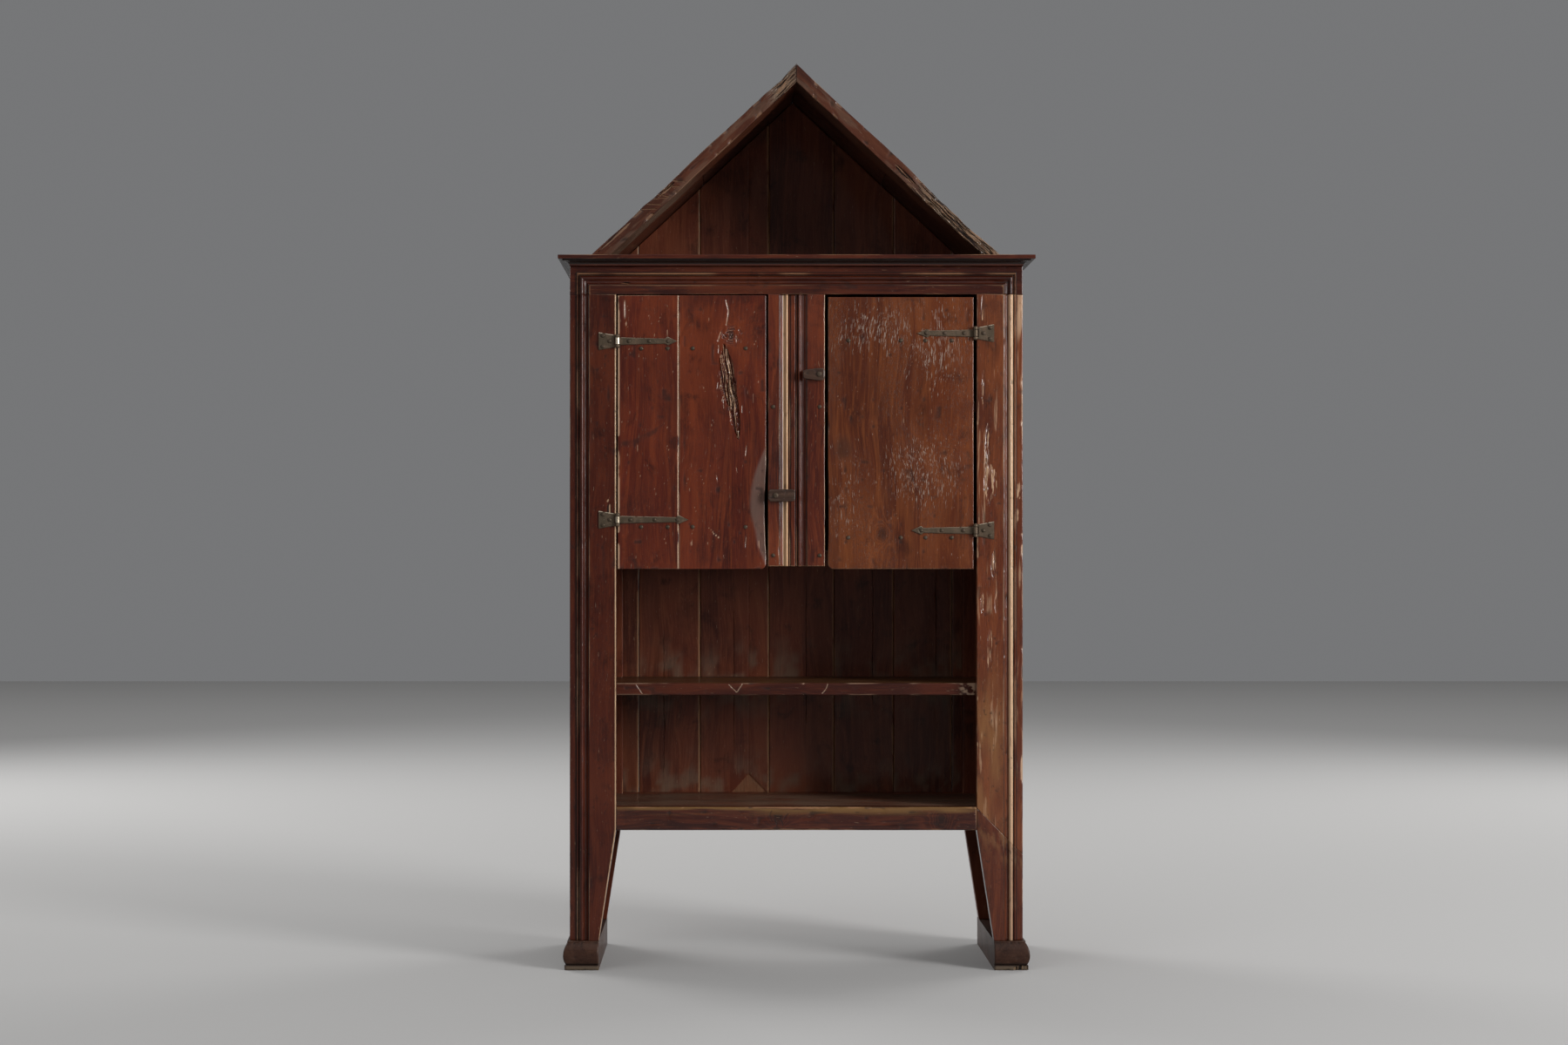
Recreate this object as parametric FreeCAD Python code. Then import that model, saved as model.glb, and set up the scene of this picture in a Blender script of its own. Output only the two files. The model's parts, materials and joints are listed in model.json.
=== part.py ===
import FreeCAD, Part
import math
import os

from FreeCAD import Vector

# Gabled cupboard: a framed carcass on sled feet, two strap-hinged doors held by turn-buttons,
# open shelves below and a steep boarded gable above. Millimetres, +Z up, front towards -Y.
# The origin lies on the floor, at the middle of the overall width and depth.

# Carcass
body_width = 976.0
body_depth = 400.0
stile_width = 100.0
stile_thickness = 35.0
rear_frame_thickness = 30.0
side_thickness = 24.0
back_thickness = 18.0
board_seam = 0.8

# Heights, from the floor upwards
foot_height = 62.0
leg_height = 238.0
bottom_rail_height = 50.0
lower_shelf_space = 239.0
middle_shelf_thickness = 26.0
upper_shelf_space = 264.0
cupboard_floor_thickness = 24.0
lower_cupboard_space = 296.0
inner_shelf_thickness = 24.0
upper_cupboard_space = 230.0
top_rail_height = 62.0
cornice_height = 21.0

# Legs, feet and the old leg repair
leg_taper = 37.0
foot_projection = 10.5
foot_block_height = 11.0
foot_bead_height = 41.0
foot_bead_bulge = 9.0
foot_neck_inset = 6.0
scarf_top_rise = 48.0
scarf_run_drop = 102.0

# Run moulding on the outer edge of the stiles and the top rail, from the outer edge inwards
band_width = 15.0
band_depth = 12.0
fillet_width = 4.0
fillet_depth = 8.0
groove_width = 2.0
groove_depth = 10.5
bead_width = 11.0
bead_base_depth = 7.0
bead_crest_depth = 2.0
hollow_width = 8.0
hollow_depth = 8.0
quirk_width = 2.0
quirk_depth = 4.0

# Post between the doors
muntin_width = 122.0
muntin_flat_width = 25.0
muntin_quirk_width = 3.0
muntin_quirk_depth = 2.0
muntin_groove_width = 7.0
muntin_groove_depth = 7.0
muntin_ledge_width = 2.0
muntin_ledge_depth = 3.0
muntin_panel_width = 15.0
muntin_panel_depth = 10.0
muntin_ogee_sag = 1.5
muntin_drop = 35.0

# Cornice and top board
cornice_overhang = 24.0
cornice_band_height = 9.0
cornice_quirk_height = 3.0
cornice_cove_projection = 15.0
cornice_cove_sag = 3.0

# Gable
gable_rise = 414.0
eave_inset = 43.0
rafter_thickness = 30.0
rafter_depth = 100.0
roof_board_thickness = 14.0
roof_seam_share = 0.52

# Shelves, bottom boards and their bearers
bottom_board_thickness = 24.0
bottom_seam_share = 0.46
bearer_height = 25.0
bearer_width = 22.0
shelf_worn_corner_width = 26.0
shelf_worn_corner_depth = 14.0

# Back planks: where the seams fall, as shares of the width from the left
back_seam_shares = (0.139, 0.283, 0.445, 0.598, 0.738, 0.875)

# Doors
door_thickness = 22.0
hinge_gap = 7.0
left_meeting_gap = 4.0
right_meeting_gap = 7.0
left_door_top_gap = 2.0
right_door_top_gap = 6.0
door_drop = 6.0
left_door_seam_share = 0.405
worn_edge_height = 200.0
worn_edge_rise = 24.0
worn_edge_depth = 6.0
worn_corner_radius = 12.0
batten_height = 72.0
batten_thickness = 20.0
batten_end_margin = 34.0
left_upper_batten_drop = 78.0
right_upper_batten_drop = 42.0
batten_floor_gap = 13.0

# Strap hinges
knuckle_radius = 5.5
pin_radius = 2.6
pin_clearance = 0.05
strap_knuckle_height = 15.0
plate_knuckle_height = 5.5
knuckle_play = 0.3
pin_head_radius = 4.2
pin_head_height = 1.6
leaf_thickness = 2.6
leaf_start = 7.5
strap_width = 16.0
strap_tip_width = 11.0
spear_length = 26.0
spear_width = 19.0
spear_waist_share = 0.22
plate_length = 33.0
plate_flare_width = 39.0
left_upper_hinge_drop = 99.0
left_lower_hinge_rise = 106.0
right_upper_hinge_drop = 78.0
right_lower_hinge_rise = 83.0
left_upper_strap_length = 128.0
left_lower_strap_length = 152.0
right_upper_strap_length = 124.0
right_lower_strap_length = 137.0
strap_nail_shares = (0.14, 0.50, 0.84)
plate_nail_shares = ((0.30, 0.0), (0.74, -0.30), (0.74, 0.30))

# Rose-head nails
nail_head_width = 9.0
nail_crown_width = 4.0
nail_head_height = 2.2
nail_shank_width = 3.2
door_nail_length = 34.0
plate_nail_length = 26.0
muntin_nail_length = 60.0
muntin_nail_inset = 11.0
batten_nail_shares = (0.15, 0.33, 0.50, 0.86)
batten_nail_gap = 1.5

# Turn-buttons, which lie clear of the doors when stored
button_height = 26.0
button_thickness = 17.0
button_corner_radius = 7.0
button_gap = 0.3
left_pivot_inset = 16.2
right_pivot_inset = 12.2
left_button_reach = 42.0
right_button_reach = 35.0
left_button_rise = 158.0
right_button_rise = 418.0
pivot_radius = 3.0
pivot_head_radius = 6.0
pivot_crown_radius = 3.5
pivot_head_height = 3.0
pivot_depth = 22.0

# One overrun serves every cutting tool
overrun = 20.0

# Places that follow from the sizes above
half_width = body_width / 2
front_y = cornice_overhang - (body_depth + cornice_overhang) / 2
back_y = front_y + body_depth
plank_front_y = back_y - back_thickness
rear_frame_y = plank_front_y - rear_frame_thickness
stile_back_y = front_y + stile_thickness
inner_half = half_width - stile_width
side_inner = half_width - side_thickness
rail_low_z = foot_height + leg_height
rail_top_z = rail_low_z + bottom_rail_height
middle_shelf_z = rail_top_z + lower_shelf_space
cupboard_floor_z = middle_shelf_z + middle_shelf_thickness + upper_shelf_space
cupboard_base_z = cupboard_floor_z + cupboard_floor_thickness
inner_shelf_z = cupboard_base_z + lower_cupboard_space
opening_top_z = inner_shelf_z + inner_shelf_thickness + upper_cupboard_space
carcass_top_z = opening_top_z + top_rail_height
cornice_top_z = carcass_top_z + cornice_height
apex_z = cornice_top_z + gable_rise
muntin_low_z = cupboard_base_z - muntin_drop
muntin_half = muntin_width / 2
door_low_z = muntin_low_z - door_drop
roof_half = half_width - eave_inset
roof_angle = math.atan2(gable_rise, roof_half)
moulding_width = (band_width + fillet_width + groove_width + bead_width + hollow_width
                  + quirk_width)
hinge_y = front_y - knuckle_radius
hinge_x = inner_half - hinge_gap / 2


def block(x0, x1, y0, y1, z0, z1):
    """Board between two opposite corners."""
    return Part.makeBox(x1 - x0, y1 - y0, z1 - z0, Vector(x0, y0, z0))


def outline(start, *steps):
    """Closed face: each step is the end of a straight run, or an arc as (through, end)."""
    edges = []
    here = start
    for step in steps:
        if isinstance(step, tuple):
            through, end = step
            edges.append(Part.Arc(here, through, end).toShape())
        else:
            end = step
            edges.append(Part.makeLine(here, end))
        here = end
    if not here.isEqual(start, Part.Precision.confusion()):
        edges.append(Part.makeLine(here, start))
    return Part.Face(Part.Wire(edges))


def front_outline(y, start, *steps):
    """Face in the plane of the front, from (x, z) pairs or arcs as pairs of pairs."""
    def lift(step):
        if isinstance(step[0], tuple):
            return tuple(Vector(x, y, z) for x, z in step)
        return Vector(step[0], y, step[1])
    return outline(lift(start), *[lift(step) for step in steps])


def front_board(y0, y1, start, *steps):
    """Board of that outline, from y0 back to y1."""
    return front_outline(y0, start, *steps).extrude(Vector(0, y1 - y0, 0))


def mirrored(shape):
    """The same piece on the other side of the cupboard."""
    return shape.mirror(Vector(0, 0, 0), Vector(1, 0, 0))


def moulding_profile():
    """Section that the moulding plane removes, as (inset, depth) steps from the outer edge."""
    bead_start = band_width + fillet_width + groove_width
    bead_end = bead_start + bead_width
    hollow_end = bead_end + hollow_width
    fillet_end = band_width + fillet_width
    bead_middle = ((bead_start + bead_end) / 2, bead_crest_depth)
    hollow_middle = ((bead_end + hollow_end) / 2, hollow_depth)
    return [(-overrun, -overrun), (-overrun, band_depth), (band_width, band_depth),
            (band_width, fillet_depth), (fillet_end, fillet_depth), (fillet_end, groove_depth),
            (bead_start, groove_depth), (bead_start, bead_base_depth),
            (bead_middle, (bead_end, bead_base_depth)),
            (hollow_middle, (hollow_end, quirk_depth)),
            (moulding_width, quirk_depth), (moulding_width, -overrun)]


def moulding_face(place):
    """The profile as a face; place turns (inset, depth) into a point."""
    points = []
    for step in moulding_profile():
        if isinstance(step[0], tuple):
            points.append(tuple(place(*pair) for pair in step))
        else:
            points.append(place(*step))
    return outline(points[0], *points[1:])


def moulding_cutter():
    """The profile run up one stile, mitred along the top rail and down the other stile."""
    low_z = foot_height - overrun
    reach = moulding_width + overrun

    def on_stile(inset, depth):
        return Vector(inset - half_width, front_y + depth, low_z)

    def on_rail(inset, depth):
        return Vector(-half_width - overrun, front_y + depth, carcass_top_z - inset)

    outer = -half_width - overrun
    inner = -half_width + reach
    high = carcass_top_z + overrun
    mitre = carcass_top_z - reach
    room_y = front_y + stile_thickness
    stile_run = moulding_face(on_stile).extrude(Vector(0, 0, high - low_z))
    stile_run = stile_run.common(front_board(front_y - overrun, room_y, (outer, low_z), (outer, high),
                                             (inner, mitre), (inner, low_z)))
    rail_run = moulding_face(on_rail).extrude(Vector(body_width + overrun + overrun, 0, 0))
    rail_run = rail_run.common(front_board(front_y - overrun, room_y, (outer, high), (inner, mitre),
                                           (-inner, mitre), (-outer, high)))
    return Part.makeCompound([stile_run, rail_run, mirrored(stile_run)])


def leg_board(y0, y1, top_z):
    """Left stile as a plain board whose inner edge tapers away below the bottom rail."""
    return front_board(y0, y1, (-half_width, foot_height), (-half_width, top_z), (-inner_half, top_z),
                       (-inner_half, rail_low_z), (-inner_half - leg_taper, foot_height))


def front_frame():
    """Front stiles, the scarfed end of the right leg, the rails and the post."""
    cutter = moulding_cutter()
    left = leg_board(front_y, stile_back_y, opening_top_z)
    scarf_z = rail_low_z + scarf_top_rise
    slope = scarf_run_drop / stile_width
    beyond = half_width + overrun
    beyond_z = scarf_z - scarf_run_drop - slope * overrun
    inside = inner_half - overrun
    inside_z = scarf_z + slope * overrun
    below_scarf = front_board(front_y - overrun, stile_back_y + overrun, (inside, 0), (inside, inside_z),
                              (beyond, beyond_z), (beyond, 0))
    right = mirrored(left).cut(cutter)
    rail = block(-half_width, half_width, front_y, stile_back_y, opening_top_z, carcass_top_z)
    return {
        "left_front_stile": left.cut(cutter),
        "right_front_stile": right.cut(below_scarf),
        "right_leg_splice": right.common(below_scarf),
        "top_rail": rail.cut(cutter),
        "bottom_rail": block(-inner_half, inner_half, front_y, stile_back_y, rail_low_z, rail_top_z),
        "muntin": muntin(),
    }


def muntin():
    """Post between the doors: flat edges, a quirk and groove, then a slope to a sunk centre."""
    flat = muntin_half - muntin_flat_width
    quirk = flat - muntin_quirk_width
    groove = quirk - muntin_groove_width
    ledge = groove - muntin_ledge_width
    panel = muntin_panel_width / 2
    slope_middle = ((ledge + panel) / 2, (muntin_ledge_depth + muntin_panel_depth) / 2 + muntin_ogee_sag)

    def place(x, depth):
        return Vector(x, front_y + depth, muntin_low_z)

    right_half = [(muntin_half, 0), (flat, 0), (flat, muntin_quirk_depth), (quirk, muntin_quirk_depth),
                  (quirk, muntin_groove_depth), (groove, muntin_groove_depth),
                  (groove, muntin_ledge_depth), (ledge, muntin_ledge_depth)]
    left_half = [(-x, depth) for x, depth in reversed(right_half)]
    middle_x, middle_depth = slope_middle
    right_arc = (place(middle_x, middle_depth), place(panel, muntin_panel_depth))
    left_arc = (place(-middle_x, middle_depth), place(-ledge, muntin_ledge_depth))
    points = [place(muntin_half, stile_thickness)]
    points += [place(*pair) for pair in right_half]
    points += [right_arc, place(-panel, muntin_panel_depth), left_arc]
    points += [place(*pair) for pair in left_half[1:]]
    points += [place(-muntin_half, stile_thickness)]
    return outline(*points).extrude(Vector(0, 0, opening_top_z - muntin_low_z))


def foot():
    """Left sled foot: the front and outer-side outlines, each drawn out and then intersected."""
    bead_top = foot_block_height + foot_bead_height
    bead_middle = foot_block_height + foot_bead_height / 2
    inner = -inner_half - leg_taper

    def moulded_edge(edge, far, place):
        neck = edge + foot_neck_inset
        crown = edge + foot_neck_inset - foot_bead_bulge
        return outline(place(far, 0), place(edge, 0), place(edge, foot_block_height),
                       place(neck, foot_block_height),
                       (place(crown, bead_middle), place(neck, bead_top)),
                       place(neck, foot_height), place(far, foot_height))

    side_edge = -half_width - foot_projection
    front_edge = front_y - foot_projection
    side = moulded_edge(side_edge, inner, lambda d, z: Vector(d, front_edge - overrun, z))
    front = moulded_edge(front_edge, back_y, lambda d, z: Vector(side_edge - overrun, d, z))
    run = Vector(0, body_depth + foot_projection + overrun + overrun, 0)
    across = Vector(stile_width + foot_projection + overrun + overrun, 0, 0)
    return side.extrude(run).common(front.extrude(across))


def cornice():
    """Moulding round the top board, mitred at the front corners, and the board itself."""
    cove_z = carcass_top_z + cornice_height - cornice_band_height - cornice_quirk_height
    band_z = cornice_top_z - cornice_band_height
    cove_height = cove_z - carcass_top_z
    cove_middle = (cornice_cove_projection / 2 - cornice_cove_sag / math.sqrt(2),
                   carcass_top_z + cove_height / 2 + cornice_cove_sag / math.sqrt(2))

    def section(place):
        return outline(place(0, carcass_top_z),
                       (place(*cove_middle), place(cornice_cove_projection, cove_z)),
                       place(cornice_cove_projection, band_z), place(cornice_overhang, band_z),
                       place(cornice_overhang, cornice_top_z), place(0, cornice_top_z))

    outer = half_width + cornice_overhang
    outer_y = front_y - cornice_overhang

    def plan(*corners):
        points = [Vector(x, y, carcass_top_z) for x, y in corners]
        return outline(*points).extrude(Vector(0, 0, cornice_height))

    front = section(lambda p, z: Vector(-outer, front_y - p, z)).extrude(Vector(outer + outer, 0, 0))
    side = section(lambda p, z: Vector(-half_width - p, outer_y, z)).extrude(Vector(0, back_y - outer_y, 0))
    front = front.common(plan((-outer, outer_y), (outer, outer_y), (half_width, front_y),
                              (-half_width, front_y)))
    side = side.common(plan((-outer, outer_y), (-half_width, front_y), (-half_width, back_y),
                            (-outer, back_y)))
    return {
        "cornice_front": front,
        "cornice_left": side,
        "cornice_right": mirrored(side),
        "top_board": block(-half_width, half_width, front_y, plank_front_y, carcass_top_z, cornice_top_z),
    }


def carcass_boards():
    """Rear frame and the boards of the two sides."""
    middle_y = (stile_back_y + rear_frame_y) / 2
    seam = board_seam / 2
    front_side = block(-half_width, -side_inner, stile_back_y, middle_y - seam, foot_height, carcass_top_z)
    rear_side = block(-half_width, -side_inner, middle_y + seam, rear_frame_y, foot_height, carcass_top_z)
    rear_stile = leg_board(rear_frame_y, plank_front_y, carcass_top_z)
    return {
        "left_rear_stile": rear_stile,
        "right_rear_stile": mirrored(rear_stile),
        "left_side_front_board": front_side,
        "left_side_rear_board": rear_side,
        "right_side_front_board": mirrored(front_side),
        "right_side_rear_board": mirrored(rear_side),
        "rear_top_rail": block(-inner_half, inner_half, rear_frame_y, plank_front_y, opening_top_z,
                               carcass_top_z),
        "rear_bottom_rail": block(-inner_half, inner_half, rear_frame_y, plank_front_y, rail_low_z,
                                  rail_top_z),
    }


def shelf(low_z, thickness):
    """Shelf behind the stiles, notched round the rear stiles to reach the back planks."""
    corners = [(-side_inner, stile_back_y), (side_inner, stile_back_y), (side_inner, rear_frame_y),
               (inner_half, rear_frame_y), (inner_half, plank_front_y), (-inner_half, plank_front_y),
               (-inner_half, rear_frame_y), (-side_inner, rear_frame_y)]
    points = [Vector(x, y, low_z) for x, y in corners]
    return outline(*points).extrude(Vector(0, 0, thickness))


def shelves():
    """Four levels of shelving and the bearers that carry them."""
    worn_x = inner_half - shelf_worn_corner_width
    worn_y = stile_back_y + shelf_worn_corner_depth
    corner = outline(Vector(worn_x, stile_back_y, middle_shelf_z),
                     Vector(side_inner, worn_y, middle_shelf_z),
                     Vector(side_inner, stile_back_y, middle_shelf_z))
    bottom_low_z = rail_top_z - bottom_board_thickness
    seam_y = stile_back_y + (rear_frame_y - stile_back_y) * bottom_seam_share
    seam = board_seam / 2
    supports = []
    for carried_z in (bottom_low_z, middle_shelf_z, cupboard_floor_z, inner_shelf_z):
        supports.append(block(-side_inner, -side_inner + bearer_width, stile_back_y, rear_frame_y,
                              carried_z - bearer_height, carried_z))
    left_bearers = Part.makeCompound(supports)
    middle_shelf = shelf(middle_shelf_z, middle_shelf_thickness)
    return {
        "middle_shelf": middle_shelf.cut(corner.extrude(Vector(0, 0, middle_shelf_thickness))),
        "cupboard_floor": shelf(cupboard_floor_z, cupboard_floor_thickness),
        "inner_shelf": shelf(inner_shelf_z, inner_shelf_thickness),
        "bottom_front_board": block(-side_inner, side_inner, stile_back_y, seam_y - seam, bottom_low_z,
                                    rail_top_z),
        "bottom_rear_board": block(-side_inner, side_inner, seam_y + seam, rear_frame_y, bottom_low_z,
                                   rail_top_z),
        "left_shelf_bearers": left_bearers,
        "right_shelf_bearers": mirrored(left_bearers),
    }


def slope_slab(thickness, y0, y1, low_share, high_share):
    """Left roof slab between two shares of the slope, with its outer face on the roof line."""
    toe = Vector(-roof_half, y0, cornice_top_z)
    along = Vector(math.cos(roof_angle), 0, math.sin(roof_angle))
    into = Vector(math.sin(roof_angle), 0, -math.cos(roof_angle)) * thickness
    slope = roof_half / math.cos(roof_angle)
    low = toe + along * (slope * low_share)
    high = toe + along * (slope * high_share)
    slab = outline(low, high, high + into, low + into).extrude(Vector(0, y1 - y0, 0))
    room = block(-roof_half - overrun, 0, y0, y1, cornice_top_z, apex_z)
    return slab.common(room)


def gable():
    """Front rafters, and the roof boards that lie behind them up to the back."""
    boards_y = front_y + rafter_depth
    past_apex = 1 + rafter_thickness / roof_half
    before_toe = -rafter_thickness / roof_half
    seam_share = board_seam / gable_rise
    rafter = slope_slab(rafter_thickness, front_y, boards_y, before_toe, past_apex)
    lower = slope_slab(roof_board_thickness, boards_y, back_y, before_toe, roof_seam_share)
    upper = slope_slab(roof_board_thickness, boards_y, back_y, roof_seam_share + seam_share, past_apex)
    return {
        "left_rafter": rafter,
        "right_rafter": mirrored(rafter),
        "left_roof_lower_board": lower,
        "left_roof_upper_board": upper,
        "right_roof_lower_board": mirrored(lower),
        "right_roof_upper_board": mirrored(upper),
    }


def back_planks():
    """Vertical planks from the bottom rail up to the underside of the roof boards."""
    apex_inner = apex_z - roof_board_thickness / math.cos(roof_angle)
    toe_inner = roof_half - roof_board_thickness / math.sin(roof_angle)
    wall = front_board(plank_front_y, back_y, (-half_width, rail_low_z), (-half_width, cornice_top_z),
                       (-toe_inner, cornice_top_z), (0, apex_inner), (toe_inner, cornice_top_z),
                       (half_width, cornice_top_z), (half_width, rail_low_z))
    seams = [body_width * share - half_width for share in back_seam_shares]
    starts = [-half_width] + [x + board_seam / 2 for x in seams]
    ends = [x - board_seam / 2 for x in seams] + [half_width]
    planks = {}
    for number, (x0, x1) in enumerate(zip(starts, ends), 1):
        strip = block(x0, x1, plank_front_y, back_y, rail_low_z, apex_z)
        planks["back_plank_%d" % number] = wall.common(strip)
    return planks


def nail(x, z, seat_y, length):
    """Rose-head nail: a four-sided crown on a square shank that runs back from its seat."""
    def square(width, y):
        half = width / 2
        return Part.makePolygon([Vector(x + half * u, y, z + half * v)
                                 for u, v in ((-1, -1), (1, -1), (1, 1), (-1, 1), (-1, -1))])

    crown = square(nail_crown_width, seat_y - nail_head_height)
    head = Part.makeLoft([square(nail_head_width, seat_y), crown], True, True)
    return head.fuse(nail_hole(x, z, seat_y, length))


def nail_hole(x, z, seat_y, length):
    """Room that the shank of such a nail takes up."""
    half = nail_shank_width / 2
    return block(x - half, x + half, seat_y, seat_y + length, z - half, z + half)


def strap(z, length):
    """Left-hand strap: knuckle round the pin, tapering bar and spear tip, flat on the door."""
    back, front = front_y, front_y - leaf_thickness
    root = strap_knuckle_height / 2
    bar = strap_width / 2
    tip = strap_tip_width / 2
    barb = spear_width / 2
    start = -hinge_x + leaf_start
    point = -hinge_x + length
    barbs = point - spear_length * (1 - spear_waist_share)
    waist = point - spear_length
    leaf = front_board(front, back, (-hinge_x, z - root), (start, z - root), (start, z - bar),
                       (waist, z - tip), (barbs, z - barb), (point, z), (barbs, z + barb),
                       (waist, z + tip), (start, z + bar), (start, z + root), (-hinge_x, z + root))
    return leaf.fuse(barrel(knuckle_radius, z - root, strap_knuckle_height)).cut(
        barrel(pin_radius + pin_clearance, z - root - overrun, strap_knuckle_height + overrun + overrun))


def barrel(radius, low_z, height):
    """Upright cylinder on the left hinge line."""
    return Part.makeCylinder(radius, height, Vector(-hinge_x, hinge_y, low_z), Vector(0, 0, 1))


def hinge_plate(z):
    """Left-hand butterfly plate on the stile, with a knuckle above and one below the strap's."""
    back, front = front_y, front_y - leaf_thickness
    inner = strap_knuckle_height / 2 + knuckle_play
    outer = inner + plate_knuckle_height
    flare = plate_flare_width / 2
    start = -hinge_x - leaf_start
    end = start - plate_length
    plate = front_board(front, back, (start, z - outer), (start, z + outer), (end, z + flare),
                        (end, z - flare))
    for low, high in ((z - outer, z - inner), (z + inner, z + outer)):
        ear = block(start, -hinge_x, front, back, low, high)
        plate = plate.fuse(ear).fuse(barrel(knuckle_radius, low, high - low))
    return plate.cut(barrel(pin_radius, z - outer - overrun, outer + outer + overrun + overrun))


def octagon(radius, centre, first, second):
    """Eight-sided outline of a forged head, about a centre in the plane of two directions."""
    corners = [math.radians(45 * number + 22.5) for number in range(9)]
    return Part.makePolygon([centre + first * (radius * math.cos(turn)) + second * (radius * math.sin(turn))
                             for turn in corners])


def hinge_pin(z):
    """Left-hand pin with a forged head above and below the knuckles."""
    reach = strap_knuckle_height / 2 + knuckle_play + plate_knuckle_height
    pin = barrel(pin_radius, z - reach, reach + reach)
    for low_z in (z + reach, z - reach - pin_head_height):
        rim = octagon(pin_head_radius, Vector(-hinge_x, hinge_y, low_z), Vector(1, 0, 0), Vector(0, 1, 0))
        pin = pin.fuse(Part.Face(rim).extrude(Vector(0, 0, pin_head_height)))
    return pin


def door_planks(low_z, high_z, free_x, seam_share):
    """Left-hand door planks: one, or two about a seam, with the free edge rubbed hollow."""
    hinge_edge = -inner_half + hinge_gap
    worn_low = low_z + worn_edge_rise
    worn_high = worn_low + worn_edge_height
    corner = worn_corner_radius
    cut_back = corner * (1 - math.sqrt(0.5))
    whole = front_board(
        front_y, front_y + door_thickness, (hinge_edge, low_z), (hinge_edge, high_z), (free_x, high_z),
        (free_x, worn_high), ((free_x - worn_edge_depth, (worn_low + worn_high) / 2), (free_x, worn_low)),
        (free_x, low_z + corner), ((free_x - cut_back, low_z + cut_back), (free_x - corner, low_z)))
    if seam_share is None:
        return [whole]
    seam_x = hinge_edge + (free_x - hinge_edge) * seam_share
    saw = block(seam_x - board_seam / 2, seam_x + board_seam / 2, front_y, front_y + door_thickness,
                low_z, high_z)
    return sorted(whole.cut(saw).Solids, key=lambda plank: plank.CenterOfMass.x)


def hung_door(low_z, high_z, free_x, seam_share, upper_batten_z, straps):
    """Left-hand door: planks, battens, straps and nails, each pierced by the nails through it."""
    hinge_edge = -inner_half + hinge_gap
    planks = door_planks(low_z, high_z, free_x, seam_share)
    batten_back = front_y + door_thickness + batten_thickness
    battens = [block(hinge_edge + batten_end_margin, free_x - batten_end_margin,
                     front_y + door_thickness, batten_back, z, z + batten_height)
               for z in (upper_batten_z, cupboard_base_z + batten_floor_gap)]
    irons = [strap(z, length) for z, length in straps]
    places = []
    for z, length in straps:
        row_z = z - (spear_width + nail_head_width) / 2 - batten_nail_gap
        for share in strap_nail_shares:
            x = -hinge_x + leaf_start + (length - leaf_start) * share
            places.append((x, z, front_y - leaf_thickness, door_nail_length))
        for share in batten_nail_shares:
            x = hinge_edge + (free_x - hinge_edge) * share
            places.append((x, row_z, front_y, door_nail_length))
    holes = Part.makeCompound([nail_hole(*place) for place in places])
    nails = Part.makeCompound([nail(*place) for place in places])
    pierced = [[piece.cut(holes) for piece in group] for group in (planks, battens, irons)]
    return pierced + [nails]


def turn_button(pivot_x, pivot_z, pivot_inset, reach):
    """Left-hand turn-button as stored: short end flush with the post's edge, long end inwards."""
    back_face = front_y - button_gap
    low, high = pivot_z - button_height / 2, pivot_z + button_height / 2
    start, end = pivot_x - pivot_inset, pivot_x + reach
    r = button_corner_radius
    c = r * (1 - math.sqrt(0.5))
    body = front_board(
        back_face - button_thickness, back_face, (start + r, low), (end - r, low),
        ((end - c, low + c), (end, low + r)), (end, high - r), ((end - c, high - c), (end - r, high)),
        (start + r, high), ((start + c, high - c), (start, high - r)), (start, low + r),
        ((start + c, low + c), (start + r, low)))
    bore = Part.makeCylinder(pivot_radius + pin_clearance, button_thickness + overrun,
                             Vector(pivot_x, back_face + overrun / 2, pivot_z), Vector(0, -1, 0))
    return body.cut(bore)


def pivot(pivot_x, pivot_z):
    """Pivot nail: a shank fast in the post and a crowned head just clear of the button."""
    seat_y = front_y - button_gap - button_thickness - button_gap
    shank = pivot_hole(pivot_x, pivot_z)
    across, up = Vector(1, 0, 0), Vector(0, 0, 1)
    rim = octagon(pivot_head_radius, Vector(pivot_x, seat_y, pivot_z), across, up)
    crown = octagon(pivot_crown_radius, Vector(pivot_x, seat_y - pivot_head_height, pivot_z), across, up)
    return shank.fuse(Part.makeLoft([rim, crown], True, True))


def pivot_hole(pivot_x, pivot_z):
    """Room that the pivot's shank takes up, from under its head to its end in the post."""
    seat_y = front_y - button_gap - button_thickness - button_gap
    return Part.makeCylinder(pivot_radius, front_y + pivot_depth - seat_y,
                             Vector(pivot_x, seat_y, pivot_z), Vector(0, 1, 0))


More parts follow.
